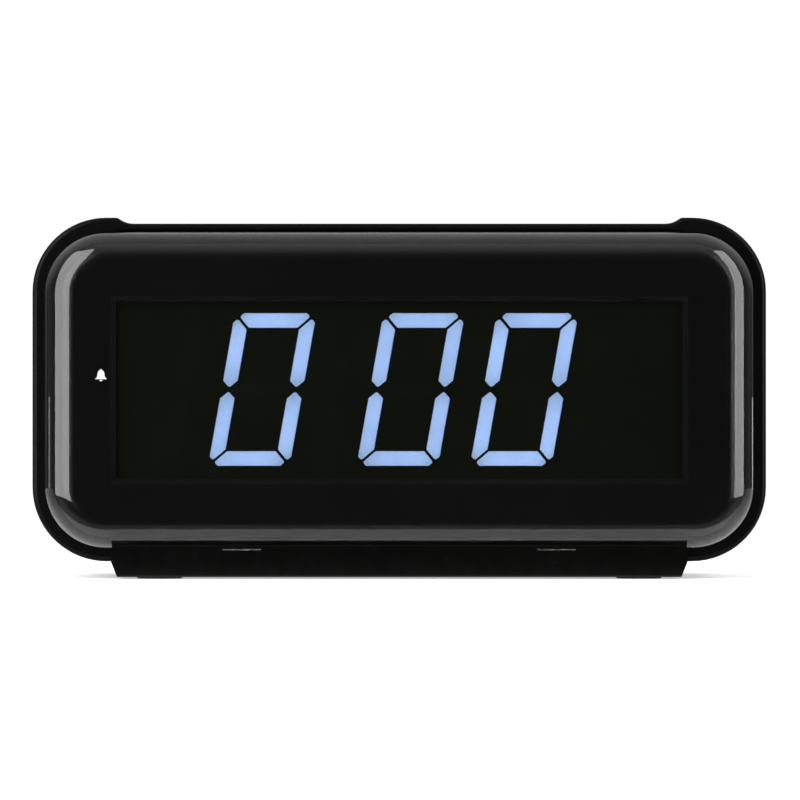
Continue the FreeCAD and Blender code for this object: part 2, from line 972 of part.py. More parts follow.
def digit_places():
    hours, pitch = dim.hours_place.number, dim.digit_pitch.number
    tens = hours + pitch + dim.colon_step.number
    return {"leading": hours - pitch, "hours": hours, "minutes_tens": tens, "minutes": tens + pitch}


def round_lamps():
    """Colon dots and the alarm lamp, as place, level and radius."""
    places = digit_places()
    middle = (places["hours"] + places["minutes_tens"]) / 2
    level, lean = dim.digit_level.number, math.tan(math.radians(dim.digit_slant.number))
    dots = [(middle + 5.2 * lean * side, level + 5.2 * side, 1.4) for side in (-1, 1)]
    return [*dots, (-dim.window_width.number / 2 + 2.6, 40.5, 0.9)]


def make_digits():
    """Diffusers of every segment, and the dark moulding with a well behind each."""
    front, back = DISPLAY_FRONT.number, DISPLAY_BACK.number
    depth = dim.diffuser_thick.number
    wells, unlit, chips = [], [], []
    for digit, place in digit_places().items():
        outlines = segment_outlines(place)
        if digit == "leading":
            outlines = {name: outlines[name] for name in "bc"}
        lit = []
        for name, points in outlines.items():
            wells.append(bar_prism(points, front, back))
            dark = name == "g" or digit == "leading"
            (unlit if dark else lit).append(bar_prism(points, front, front + depth))
            middle = sum(points, Vector()) * (1 / len(points))
            chips.append(led_chip(middle, back))
        if lit:
            feature(f"{digit}_digit", Part.makeCompound(lit))
    for place, level, radius in round_lamps():
        wells.append(disc(place, level, radius, front, back))
        unlit.append(disc(place, level, radius, front, front + depth))
        chips.append(led_chip(Vector(place, 0, level), back))
    feature("unlit_segments", Part.makeCompound(unlit))
    feature("led_chips", Part.makeCompound(chips))
    (x0, x1), (z0, z1) = display_box()
    corner = Vector(x0.number, front, z0.number)
    moulding = Part.makeBox((x1 - x0).number, back - front, (z1 - z0).number, corner)
    feature("display_reflector", moulding.cut(wells))


def led_chip(middle, back):
    return Part.makeBox(1.6, 0.6, 0.8, Vector(middle.x - 0.8, back - 0.6, middle.z - 0.4))


def make_display_board():
    board = block(
        (-62.8, 62.8),
        (DISPLAY_BACK, DISPLAY_BOARD_BACK),
        (dim.opening_level - 18.8, dim.opening_level + 18.8),
    )
    holes = [
        rod("y", 1.1, DISPLAY_BACK - 1, DISPLAY_BOARD_BACK + 1, x=x, z=z)
        for x, z in display_screw_places()
    ]
    keep(cut(board, *holes), "display_board")
    screws = [
        screw_along_y(x, z, DISPLAY_BOARD_BACK, 1.2, 1.9, 0.88, -6.5)
        for x, z in display_screw_places()
    ]
    keep(group(*screws), "display_screws")


def screw_along_y(x, z, seat, head, head_radius, shank_radius, reach):
    """A screw whose head stands behind seat and whose shank goes reach from it, with a cross slot."""
    seat = size(seat)
    top = seat + head
    shank = rod("y", shank_radius, seat + reach, seat + 0.1, x=x, z=z)
    cap = rod("y", head_radius, seat, top, x=x, z=z)
    return cut(join(cap, shank), *cross_slot(x, z, top, head_radius))


def cross_slot(x, z, top, head_radius):
    arm, slot = head_radius * 0.6, head_radius * 0.14
    x, z = size(x), size(z)
    deep = (top - 0.5, top + 1)
    return [
        block((x - arm, x + arm), deep, (z - slot, z + slot)),
        block((x - slot, x + slot), deep, (z - arm, z + arm)),
    ]


# ---------------------------------------------------------------- main board


def make_main_board():
    board = block(
        (-dim.main_board_half, dim.main_board_half),
        (dim.main_board_front, MAIN_BOARD_BACK),
        (dim.main_board_low, dim.main_board_high),
    )
    holes = [
        rod("y", 1.2, dim.main_board_front - 1, MAIN_BOARD_BACK + 1, x=x, z=z)
        for x, z in board_screw_places()
    ]
    keep(cut(board, *holes), "main_board")
    screws = []
    for x, z in board_screw_places():
        head_top = dim.main_board_front - 1.3
        cap = rod("y", 2.0, head_top, dim.main_board_front, x=x, z=z)
        shank = rod("y", 0.93, dim.main_board_front - 0.1, MAIN_BOARD_BACK + 6, x=x, z=z)
        screws.append(join(cap, shank))
    keep(group(*screws), "board_screws")


def make_board_components():
    face = dim.main_board_front
    chip = block((-30, -12), (face - 3.2, face - 0.4), (36, 43))
    legs = [
        block((-29.4 + 2.54 * n, -28.9 + 2.54 * n), (face - 1.2, face), (z0, z0 + 1.0))
        for n in range(7)
        for z0 in (35.0, 43.0)
    ]
    keep(chip, "clock_chip")
    keep(group(*legs), "clock_chip_legs")
    drivers = [
        block((x, x + 6), (face - 1.6, face), (z, z + 4))
        for x, z in ((-46, 36), (-46, 44), (18, 36))
    ]
    keep(group(*drivers), "segment_drivers")
    keep(block((-8, -4.4), (face - 4.5, face), (44, 54)), "quartz_crystal")
    cans = [rod("y", 3.2, face - 9, face, x=x, z=26) for x in (30, 39)]
    keep(group(*cans), "smoothing_capacitors")
    resistors = [
        block((-44 + 5 * n, -41 + 5 * n), (face - 0.6, face), (26, 27.6)) for n in range(7)
    ]
    keep(group(*resistors), "chip_resistors")


def make_ribbon():
    """Flat cable in a slack loop between the display board and the main board."""
    half, level = 8.0, 31.0
    start, end = DISPLAY_BOARD_BACK + 5.0, dim.main_board_front - 5.0
    spans = ((DISPLAY_BOARD_BACK, start), (end, dim.main_board_front))
    sockets = [block((-half - 1, half + 1), span, (level - 2, level + 2)) for span in spans]
    keep(group(*sockets), "ribbon_sockets")
    thick, bend, drop = 0.7, 1.6, 7.0
    points = [
        (0, start.number, level),
        (0, start.number + 2.8, level),
        (0, start.number + 2.8, level - drop),
        (0, end.number - 2.8, level - drop),
        (0, end.number - 2.8, level),
        (0, end.number, level),
    ]
    path = flat_path(points, bend)
    corner = Vector(-half, start.number, level - thick / 2)
    section = Part.makePolygon(
        [
            corner,
            corner + Vector(2 * half, 0, 0),
            corner + Vector(2 * half, 0, thick),
            corner + Vector(0, 0, thick),
            corner,
        ]
    )
    feature("ribbon_cable", path.makePipeShell([section], True, False))


def flat_path(points, bend):
    """Straight runs joined by quarter arcs of radius bend."""
    points = [Vector(*p) for p in points]
    edges, here = [], points[0]
    for before, corner, after in zip(points, points[1:], points[2:]):
        back = (before - corner).normalize()
        ahead = (after - corner).normalize()
        start, end = corner + back * bend, corner + ahead * bend
        middle = corner + (back + ahead) * (bend * (1 - math.sqrt(0.5)))
        if (start - here).Length > 1e-6:
            edges.append(Part.LineSegment(here, start).toShape())
        edges.append(Part.Arc(start, middle, end).toShape())
        here = end
    edges.append(Part.LineSegment(here, points[-1]).toShape())
    return Part.Wire(edges)


# ---------------------------------------------------------------- snooze bar


def make_snooze_bar():
    body = new_body("snooze_bar")
    middle = (dim.bar_front + dim.bar_back) / 2
    depth = dim.bar_back - dim.bar_front

    def outline(inset):
        def draw(sketch):
            width = dim.bar_half * 2 - size(inset) * 2
            draw_round_box(sketch, width, depth - size(inset) * 2, 1.3 - inset / 2, y=middle)

        return draw

    under = dim.bar_top - dim.bar_plate
    grow(body, "XY_Plane", dim.bar_skirt, dim.bar_top, outline(0))
    dress(body, "Fillet", 0.6, lies_at("z", dim.bar_top))
    carve(body, "XY_Plane", dim.bar_skirt, under, outline(1.4))

    def grip_grooves(sketch):
        for number in range(-2, 3):
            draw_round_box(sketch, 26.0, 0.8, 0.35, y=middle + 2.2 * number)

    carve(body, "XY_Plane", dim.bar_top, dim.bar_top - 0.35, grip_grooves)

    def rib(sketch):
        draw_box(sketch, -2.5, 2.5, snooze_switch_along() - 1.0, snooze_switch_along() + 1.0)

    grow(body, "XY_Plane", under + 0.3, SNOOZE_PLUNGER_TOP, rib)

    def spring_pegs(sketch):
        for side in (-1, 1):
            draw_circle(sketch, dim.spring_across * side, dim.spring_along, 1.7)

    grow(body, "XY_Plane", under + 0.3, under - 1.8, spring_pegs)

    def hook_legs(sketch):
        for side in (-1, 1):
            for y in HOOK_PLACES:
                draw_box(sketch, *hook_span(side), y - 1.6, y + 1.6)

    grow(body, "XY_Plane", under + 0.3, dim.bracket_low - 1.6, hook_legs)

    def hook_barbs(sketch):
        for side in (-1, 1):
            for y in HOOK_PLACES:
                inner, outer = hook_span(side)
                draw_box(sketch, inner + 0.9 * side, outer + 0.9 * side, y - 1.6, y + 1.6)

    grow(body, "XY_Plane", dim.bracket_low - 1.6, dim.bracket_low - 0.1, hook_barbs)


HOOK_PLACES = (-9.5, 3.5)
SNOOZE_PLUNGER_TOP = size(63.4)


def hook_span(side):
    """A snap hook's inner and outer faces, which reach through the bracket."""
    return size(46.0 * side), size(47.4 * side)


def snooze_switch_along():
    return dim.main_board_front - 3.2


def make_snooze_bracket():
    """Frame under the bar that carries its springs and guides its skirt."""
    low = dim.bracket_low
    plate_top = low + dim.bracket_plate
    under_roof = ROOF_UNDER - 0.05
    across = (-dim.bracket_half, dim.bracket_half)
    along = (dim.bracket_front, dim.bracket_back)
    plate = block(across, along, (low, plate_top))
    frame = block(across, along, (plate_top - 0.5, under_roof))
    gap = dim.bar_gap
    room = block(
        (-dim.bar_half - gap, dim.bar_half + gap),
        (dim.bar_front - gap, dim.bar_back + gap),
        (plate_top, under_roof + 1),
    )
    pegs = [
        rod("z", 1.7, plate_top - 0.5, plate_top + 2.2, x=dim.spring_across * side, y=dim.spring_along)
        for side in (-1, 1)
    ]
    through = (low - 1, plate_top + 1)
    passages = [rod("z", 3.0, low - 1, plate_top + 1, y=snooze_switch_along())]
    passages += [block((-4.2, 4.2), (3.0, 9.5), through)]
    for side in (-1, 1):
        inner, outer = hook_span(side)
        ends = sorted((inner.number - 0.4 * side, outer.number + 1.3 * side))
        for y in HOOK_PLACES:
            passages.append(block(ends, (y - 2.0, y + 2.0), through))
    keep(join(cut(join(plate, frame), room, *passages), *pegs), "snooze_bracket")


def make_snooze_switch():
    along = snooze_switch_along()
    body = block((-3.5, 3.5), (along - 3.2, dim.main_board_front), (53.0, 59.6))
    shaft_room = rod("z", 1.75, 55.2, 60, y=along)
    keep(cut(body, shaft_room), "snooze_switch")
    keep(rod("z", 1.6, 57.0, SNOOZE_PLUNGER_TOP, y=along), "snooze_plunger")


def make_snooze_springs():
    low = (dim.bracket_low + dim.bracket_plate).number + 0.25
    high = (dim.bar_top - dim.bar_plate).number - 0.25
    for side, label in ((-1, "snooze_spring_left"), (1, "snooze_spring_right")):
        place = Vector(dim.spring_across.number * side, dim.spring_along.number, low)
        coil = spring(dim.spring_radius.number, dim.spring_wire.number / 2, high - low, 5)
        coil.translate(place)
        feature(label, coil)


def spring(radius, wire, length, turns):
    """An open coil along +Z from the origin, in quarter turns."""
    quarters = 4 * turns

    def at(step):
        angle = math.pi / 2 * step
        return Vector(radius * math.cos(angle), radius * math.sin(angle), length * step / quarters)

    arcs = [Part.Arc(at(n), at(n + 0.5), at(n + 1)).toShape() for n in range(quarters)]
    heading = arcs[0].tangentAt(arcs[0].FirstParameter)
    section = Part.Wire(Part.Circle(at(0), heading, wire).toShape())
    return Part.Wire(arcs).makePipeShell([section], True, True)


# ---------------------------------------------------------------- setting controls

BUTTON_NAMES = ("time", "alarm", "hour", "minute")
SWITCH_DEPTH = 3.6


def make_buttons():
    floor = dim.back_plane - dim.panel_depth
    plunger_top = MAIN_BOARD_BACK + 8.0
    switches = []
    for name, x in zip(BUTTON_NAMES, button_places()):
        body = new_body(f"{name}_button")

        def cap(sketch, x=x):
            draw_round_box(sketch, dim.button_width, dim.button_height, 1.25, x, dim.button_level)

        def flange(sketch, x=x):
            draw_round_box(
                sketch, dim.button_width + 2, dim.button_height + 2, 1.5, x, dim.button_level
            )

        grow(body, "XZ_Plane", plunger_top, floor + 0.9, cap)
        dress(body, "Fillet", 0.5, lies_at("y", floor + 0.9))
        grow(body, "XZ_Plane", BACK_INNER - 1.6, BACK_INNER - 0.2, flange)
        keep(
            rod("y", 1.7, MAIN_BOARD_BACK + 2.6, plunger_top, x=x, z=dim.button_level),
            f"{name}_plunger",
        )
        housing = block(
            (x - 3, x + 3),
            (MAIN_BOARD_BACK, MAIN_BOARD_BACK + SWITCH_DEPTH),
            (dim.button_level - 3, dim.button_level + 3),
        )
        room = rod(
            "y", 1.85, MAIN_BOARD_BACK + 1.6, MAIN_BOARD_BACK + 5, x=x, z=dim.button_level
        )
        switches.append(cut(housing, room))
    keep(group(*switches), "button_switches")


def make_sliders():
    floor = dim.back_plane - dim.panel_depth
    level = dim.slider_level
    half = dim.slider_travel / 2
    for name, x in zip(("alarm", "dimmer"), slider_places()):
        tip = x - half
        case = block((x - 6, x + 6), (MAIN_BOARD_BACK, MAIN_BOARD_BACK + 8), (level - 3.2, level + 3.2))
        track = block(
            (x - half - 2.4, x + half + 2.4),
            (MAIN_BOARD_BACK + 4, MAIN_BOARD_BACK + 9),
            (level - 1.7, level + 1.7),
        )
        keep(cut(case, track), f"{name}_slide_switch")
        stem = block((tip - 1.9, tip + 1.9), (MAIN_BOARD_BACK + 4.2, floor - 0.2), (level - 1.5, level + 1.5))
        ribs = [
            block((tip + place - 0.3, tip + place + 0.3), (floor - 0.5, floor + 0.85), (level - 1.5, level + 1.5))
            for place in (-1.6, -0.55, 0.55, 1.6)
        ]
        keep(join(stem, *ribs), f"{name}_slide_knob")


def make_power_inlet():
    x, z = dim.jack_across, dim.jack_level
    start = MAIN_BOARD_BACK
    body = block((x - 5, x + 5), (start, BACK_INNER - 0.2), (z - 5, z + 5))
    nose = rod("y", 4.15, BACK_INNER - 1, dim.back_plane - 0.15, x=x, z=z)
    bore = rod("y", dim.jack_bore, start + 7, dim.back_plane + 1, x=x, z=z)
    keep(cut(join(body, nose), bore), "power_inlet")
    keep(rod("y", dim.jack_pin, start + 7, dim.back_plane - 1.0, x=x, z=z), "power_inlet_pin")


def make_buzzer():
    back = BACK_INNER - 0.2
    front = back - 5.0
    can = rod("y", 6.8, front, back, x=BUZZER_ACROSS, z=BUZZER_LEVEL)
    port = rod("y", 1.4, back - 2, back + 1, x=BUZZER_ACROSS, z=BUZZER_LEVEL)
    keep(cut(can, port), "buzzer")
    wires = []
    for side in (-1, 1):
        x = BUZZER_ACROSS + 2.5 * side
        points = [
            (x, front.number, BUZZER_LEVEL),
            (x, front.number - 3.5, BUZZER_LEVEL),
            (x + 2.0 * side, MAIN_BOARD_BACK.number + 3.0, BUZZER_LEVEL - 3.0),
            (x + 2.0 * side, MAIN_BOARD_BACK.number, BUZZER_LEVEL - 3.0),
        ]
        wires.append(tube_along(points, 0.5, 1.6))
    feature("buzzer_wires", Part.makeCompound(wires))


# ---------------------------------------------------------------- battery


def make_battery_door():
    left, right, low, high = door_box(0)
    back = dim.back_plane
    front = back - dim.door_thick
    axis_y, axis_z = hinge_axis()
    half = dim.door_thick / 2
    panel = block((left, right), (front, back), (axis_z, high))
    edge = rod("x", half, left, right, y=axis_y, z=axis_z)
    pin = rod("x", dim.hinge_pin, left - 1.15, right + 1.15, y=axis_y, z=axis_z)
    middle = (left + right) / 2
    notch = rod("y", 6.0, back - 0.8, back + 1, x=middle, z=high + 2.6)
    ribs = [
        block((middle - 7, middle + 7), (back - 0.4, back + 1), (high - 8.0 - 2 * n, high - 7.2 - 2 * n))
        for n in range(3)
    ]
    keep(cut(join(panel, edge, pin), notch, *ribs), "battery_door")


def cell_levels():
    spare = (dim.bay_high - dim.bay_low - dim.cell_radius * 4) / 3
    low = dim.bay_low + spare + dim.cell_radius
    return [low, low + spare + dim.cell_radius * 2]


def make_batteries():
    y = dim.bay_floor + dim.cell_radius + 0.2
    cells, plates = [], []
    ends = (("lower", dim.bay_left, 1), ("upper", dim.bay_right, -1))
    for (name, spring_end, inward), z in zip(ends, cell_levels()):
        can_start = spring_end + inward * 5.0
        can_end = can_start + dim.cell_length * inward
        tip_end = can_end + 0.9 * inward
        spans = [sorted((a.number, b.number)) for a, b in ((can_start, can_end), (can_end, tip_end))]
        can = rod("x", dim.cell_radius, *spans[0], y=y, z=z)
        tip = rod("x", 1.9, *spans[1], y=y, z=z)
        cells.append(join(can, tip))
        coil = spring(3.0, 0.35, 3.7, 4)
        coil.rotate(Vector(), Vector(0, 1, 0), 90 * inward)
        coil.translate(Vector((spring_end + 0.85 * inward).number, y.number, z.number))
        feature(f"battery_spring_{name}", coil)
    for wall, inward in ((dim.bay_left, 1), (dim.bay_right, -1)):
        span = sorted((wall.number + 0.05 * inward, wall.number + 0.45 * inward))
        depth = (dim.bay_floor + 0.2, dim.back_plane - 3.2)
        if inward > 0:
            plates.append(block(span, depth, (dim.bay_low + 1, dim.bay_high - 1)))
        else:
            middle = (dim.bay_low + dim.bay_high) / 2
            plates.append(block(span, depth, (dim.bay_low + 1, middle - 0.8)))
            plates.append(block(span, depth, (middle + 0.8, dim.bay_high - 1)))
    keep(group(*cells), "backup_cells")
    keep(group(*plates), "battery_contacts")


def make_battery_wires():
    """Leads from the right-hand contacts, through the bay's wall, to the main board."""
    start = dim.bay_right.number - 0.05
    turn = start + 4.4
    for label, level in zip(("battery_wire_red", "battery_wire_black"), WIRE_LEVELS):
        points = [
            (start, WIRE_ALONG, level),
            (turn, WIRE_ALONG, level),
            (turn, MAIN_BOARD_BACK.number, level),
        ]
        feature(label, tube_along(points, 0.6, 1.8))


# ---------------------------------------------------------------- case screws and foot


def make_case_screws():
    seat = dim.post_end + 2.2
    screws = [screw_along_y(x, z, seat, 1.8, 2.7, 1.22, -12.0) for x, z in post_places()]
    keep(group(*screws), "case_screws")


def make_foot():
    body = new_body("foot_base")
    low, case = dim.foot_low, dim.case_base
    lip_back = dim.foot_front + dim.foot_lip_thick
    block_back = dim.rim_front - 0.2

    def outline(top, slope=None):
        def draw(sketch):
            corners = [(dim.foot_low_half, low), (dim.foot_top_half, case)]
            if slope is None:
                corners.append((dim.foot_top_half, top))
            else:
                corners.append((dim.foot_top_half, top - slope))
                corners.append((dim.foot_top_half - slope, top))
            mirrored = [(-x, z) for x, z in reversed(corners)]
            draw_polygon(sketch, corners + mirrored)

        return draw

    def base_outline(sketch):
        draw_polygon(
            sketch,
            [
                (-dim.foot_low_half, low),
                (dim.foot_low_half, low),
                (dim.foot_top_half, case),
                (-dim.foot_top_half, case),
            ],
        )

    grow(body, "XZ_Plane", dim.foot_front, lip_back, outline(dim.foot_lip, 1.0))
    grow(body, "XZ_Plane", lip_back, block_back, outline(dim.foot_block))
    grow(body, "XZ_Plane", block_back, dim.foot_back, base_outline)
    lip_low = (-60, dim.foot_front - 0.01, dim.foot_lip - 0.01)
    lip_high = (60, dim.foot_front + 0.01, dim.foot_lip + 0.01)
    dress(body, "Fillet", 0.5, lies_at("y", dim.foot_front, lip_low, lip_high))
    base_low = (-60, dim.foot_front - 0.01, low - 0.01)
    base_high = (60, dim.foot_front + 0.01, low + 0.01)
    dress(body, "Fillet", 0.4, lies_at("y", dim.foot_front, base_low, base_high))

    roof = case - dim.foot_wall
    carve(
        body,
        "XY_Plane",
        low,
        roof,
        lambda sketch: draw_box(sketch, -53.5, 53.5, dim.foot_front + 1.4, dim.foot_back - 1.8),
    )

    def bosses(sketch):
        for x, y in foot_pad_places():
            draw_circle(sketch, x, y, dim.foot_pad_radius + 1.4)
        for side in (-1, 1):
            draw_circle(sketch, dim.foot_screw_across * side, dim.foot_screw_along, 4.6)

    grow(body, "XY_Plane", low, roof + 0.5, bosses)

    def pad_seats(sketch):
        for x, y in foot_pad_places():
            draw_circle(sketch, x, y, dim.foot_pad_radius + 0.1)

    carve(body, "XY_Plane", low, low + 1.0, pad_seats)

    def screw_holes(radius):
        def draw(sketch):
            for side in (-1, 1):
                draw_circle(sketch, dim.foot_screw_across * side, dim.foot_screw_along, radius)

        return draw

    carve(body, "XY_Plane", low, low + 1.5, screw_holes(3.1))
    carve(body, "XY_Plane", low, case, screw_holes(1.5))

    def clip_slots(sketch):
        for side in (-1, 1):
            middle = 31.4 * side
            draw_box(sketch, middle - 3.8, middle + 3.8, 5.72, 6.02)

    carve(body, "XZ_Plane", dim.foot_front, dim.foot_front + 0.5, clip_slots)
    clips = [
        block(
            (31.4 * side - 3.8, 31.4 * side + 3.8),
            (dim.foot_front + 0.05, dim.foot_front + 0.5),
            (5.72, 6.02),
        )
        for side in (-1, 1)
    ]
    keep(group(*clips), "foot_clips")


def foot_pad_places():
    return [(dim.foot_pad_across * side, y) for side in (-1, 1) for y in (-17.0, 13.5)]


def make_foot_hardware():
    pads = [
        rod("z", dim.foot_pad_radius, 0, dim.foot_low + 1.0, x=x, y=y)
        for x, y in foot_pad_places()
    ]
    keep(group(*pads), "foot_pads")
    seat = dim.foot_low + 1.5
    screws = []
    for side in (-1, 1):
        x, y = dim.foot_screw_across * side, dim.foot_screw_along
        cap = rod("z", 2.6, seat - 1.1, seat, x=x, y=y)
        shank = rod("z", 1.22, seat - 0.1, seat + 7.5, x=x, y=y)
        slots = [
            block((x - 1.5, x + 1.5), (y - 0.35, y + 0.35), (seat - 2, seat - 0.6)),
            block((x - 0.35, x + 0.35), (y - 1.5, y + 1.5), (seat - 2, seat - 0.6)),
        ]
        screws.append(cut(join(cap, shank), *slots))
    keep(group(*screws), "foot_screws")


# ---------------------------------------------------------------- build and export


def build():
    make_housing_shell()
    make_rear_cover()
    make_front_lens()
    make_lens_gasket()
    make_bezel_mask()
    make_display_filter()
    make_digits()
    make_display_board()
    make_main_board()
    make_board_components()
    make_ribbon()
    make_snooze_bar()
    make_snooze_bracket()
    make_snooze_switch()
    make_snooze_springs()
    make_buttons()
    make_sliders()
    make_power_inlet()
    make_buzzer()
    make_battery_door()
    make_batteries()
    make_battery_wires()
    make_case_screws()
    make_foot()
    make_foot_hardware()
    doc.recompute()


def check():
    for item in doc.Objects:
        if "Invalid" in item.State or "Error" in item.State:
            raise RuntimeError(f"{item.Label}: {item.State}")
    for item in subparts:
        shape = item.Shape
        if shape.isNull() or not shape.isValid() or not shape.Solids:
            raise RuntimeError(f"{item.Label} has no valid solid")


def export():
    os.makedirs("parts", exist_ok=True)
    for item in subparts:
        item.Shape.exportStep(f"parts/{item.Label}.step")
        print(f"{item.Label}: {len(item.Shape.Solids)} solids, {item.Shape.Volume:.1f} mm3")


build()
check()
export()
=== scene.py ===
"""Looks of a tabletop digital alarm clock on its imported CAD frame.

Lengths are in metres, unless a comment says millimetres.
"""

import math

import bpy
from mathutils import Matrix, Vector


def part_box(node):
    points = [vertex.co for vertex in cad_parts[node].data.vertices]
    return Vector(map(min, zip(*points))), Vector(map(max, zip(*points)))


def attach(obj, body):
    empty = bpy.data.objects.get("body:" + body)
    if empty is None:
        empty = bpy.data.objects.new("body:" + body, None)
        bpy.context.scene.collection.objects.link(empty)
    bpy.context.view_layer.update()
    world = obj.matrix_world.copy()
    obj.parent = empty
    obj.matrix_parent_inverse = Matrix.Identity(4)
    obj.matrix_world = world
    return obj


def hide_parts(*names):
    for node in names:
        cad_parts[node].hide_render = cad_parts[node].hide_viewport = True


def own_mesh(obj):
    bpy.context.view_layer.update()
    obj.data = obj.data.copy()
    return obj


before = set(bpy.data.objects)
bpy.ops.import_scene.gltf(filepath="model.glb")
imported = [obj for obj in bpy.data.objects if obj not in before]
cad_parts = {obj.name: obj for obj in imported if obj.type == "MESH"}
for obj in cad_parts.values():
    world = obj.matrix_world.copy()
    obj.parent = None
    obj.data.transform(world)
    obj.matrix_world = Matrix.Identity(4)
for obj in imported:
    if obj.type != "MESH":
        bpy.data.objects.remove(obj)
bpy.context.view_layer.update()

MM = 0.001

# ---------------------------------------------------------------- node trees


class Tree:
    """Short calls that fill one node tree, of a material or of the world."""

    def __init__(self, owner, output, place):
        owner.use_nodes = True
        self.owner = owner
        self.nodes = owner.node_tree.nodes
        self.links = owner.node_tree.links
        self.nodes.clear()
        self.output = self.nodes.new(output)
        self.place = self.add("ShaderNodeTexCoord").outputs[place]

    def add(self, kind, sockets=None, **settings):
        node = self.nodes.new(kind)
        for key, value in settings.items():
            setattr(node, key, value)
        for key, value in (sockets or {}).items():
            if isinstance(value, bpy.types.NodeSocket):
                self.links.new(value, node.inputs[key])
            else:
                node.inputs[key].default_value = value
        return node

    def math(self, operation, first, second=0.0, clamp=False):
        node = self.add("ShaderNodeMath", {0: first, 1: second}, operation=operation)
        node.use_clamp = clamp
        return node.outputs[0]

    def axes(self):
        return self.add("ShaderNodeSeparateXYZ", {0: self.place}).outputs

    def stretched(self, scale):
        return self.add("ShaderNodeMapping", {"Vector": self.place, "Scale": scale}).outputs[0]

    def noise(self, scale, detail=2.0, rough=0.5, place=None):
        sockets = {"Vector": place or self.place, "Scale": scale, "Detail": detail, "Roughness": rough}
        return self.add("ShaderNodeTexNoise", sockets).outputs["Fac"]

    def spread(self, value, low, high, start=0.3, end=0.7):
        sockets = {"Value": value, "From Min": start, "From Max": end, "To Min": low, "To Max": high}
        return self.add("ShaderNodeMapRange", sockets).outputs[0]

    def ramp(self, value, stops, interpolation="LINEAR"):
        node = self.add("ShaderNodeValToRGB", {"Fac": value})
        node.color_ramp.interpolation = interpolation
        elements = node.color_ramp.elements
        while len(elements) < len(stops):
            elements.new(0.5)
        for element, (position, colour) in zip(elements, stops):
            element.position = position
            element.color = (*colour, 1.0)
        return node.outputs[0]

    def mix(self, factor, first, second):
        node = self.add("ShaderNodeMix", {0: factor}, data_type="RGBA")
        for socket, value in ((node.inputs[6], first), (node.inputs[7], second)):
            if isinstance(value, bpy.types.NodeSocket):
                self.links.new(value, socket)
            else:
                socket.default_value = (*value, 1.0)
        return node.outputs[2]

    def bump(self, height, depth):
        return self.add("ShaderNodeBump", {"Height": height, "Distance": depth, "Strength": 1.0}).outputs[0]

    def principled(self, **sockets):
        names = {key.replace("_", " "): value for key, value in sockets.items()}
        for key, value in names.items():
            if isinstance(value, tuple) and len(value) == 3:
                names[key] = (*value, 1.0)
        return self.add("ShaderNodeBsdfPrincipled", names)

    def mix_shaders(self, factor, first, second):
        return self.add("ShaderNodeMixShader", {0: factor, 1: first.outputs[0], 2: second.outputs[0]})

    def finish(self, shader):
        self.links.new(shader.outputs[0], self.output.inputs[0])
        return self.owner


def material_tree(name):
    return Tree(bpy.data.materials.new(name), "ShaderNodeOutputMaterial", "Object")


def grey(value, warm=0.0):
    return (value * (1 + warm), value, value * (1 - warm))


def moulded(name, low, high, rough, grain=3200.0, depth=6e-6, specular=0.5):
    """Injection moulded plastic: spark-eroded grain, slow changes of shade and of gloss."""
    tree = material_tree(name)
    colour = tree.ramp(tree.noise(45.0, 4.0), [(0.3, low), (0.7, high)])
    gloss = tree.spread(tree.noise(405.0, 3.0), rough[0], rough[1])
    fine = tree.bump(tree.noise(grain, 3.0, 0.6), depth)
    bsdf = tree.principled(Base_Color=colour, Roughness=gloss, Normal=fine, Specular_IOR_Level=specular)
    return tree.finish(bsdf)


def metal(name, colour, dull, rough, brushed=(1.0, 1.0, 1.0)):
    """Plated or drawn metal with fine marks, which brushed can draw out along one direction."""
    tree = material_tree(name)
    marks = tree.noise(900.0, 4.0, 0.65, tree.stretched(brushed))
    tint = tree.mix(tree.spread(tree.noise(260.0, 4.0), 0.0, 1.0, 0.35, 0.75), colour, dull)
    gloss = tree.spread(marks, rough[0], rough[1])
    bsdf = tree.principled(Base_Color=tint, Metallic=1.0, Roughness=gloss, Normal=tree.bump(marks, 4e-6))
    return tree.finish(bsdf)


# ---------------------------------------------------------------- finishes


MIRROR_FALL_OFF = 3.4


def clear_acrylic(name, face_on, grazing):
    """Clear acrylic with faint wiping marks. It mirrors a share from face_on to grazing, by the angle."""
    tree = material_tree(name)
    marks = tree.noise(220.0, 5.0, 0.7, tree.stretched((1.0, 1.0, 3.0)))
    gloss = tree.spread(marks, 0.0, 0.008, 0.45, 0.8)
    facing = tree.add("ShaderNodeLayerWeight", {"Blend": 0.5}).outputs["Facing"]
    share = tree.math("MULTIPLY", tree.math("POWER", facing, MIRROR_FALL_OFF), grazing - face_on)
    share = tree.math("ADD", share, face_on, clamp=True)
    mirror = tree.add("ShaderNodeBsdfGlossy", {"Color": (1.0, 1.0, 1.0, 1.0), "Roughness": gloss})
    clear = tree.add("ShaderNodeBsdfTransparent", {"Color": (0.97, 0.97, 0.97, 1.0)})
    return tree.finish(tree.mix_shaders(share, clear, mirror))


def tinted_filter():
    """Smoked sheet with an olive cast, cloudy enough to hide what isn't lit."""
    tree = material_tree("tinted_filter")
    cloud = tree.noise(90.0, 3.0)
    body = tree.ramp(cloud, [(0.3, (0.0050, 0.0062, 0.0032)), (0.7, (0.0062, 0.0074, 0.0042))])
    bsdf = tree.principled(Base_Color=body, Roughness=0.12, Normal=tree.bump(tree.noise(2400.0), 1e-6))
    tint = tree.ramp(cloud, [(0.3, (0.70, 0.71, 0.70)), (0.7, (0.72, 0.73, 0.72))])
    clear = tree.add("ShaderNodeBsdfTransparent", {"Color": tint})
    return tree.finish(tree.mix_shaders(0.5, bsdf, clear))


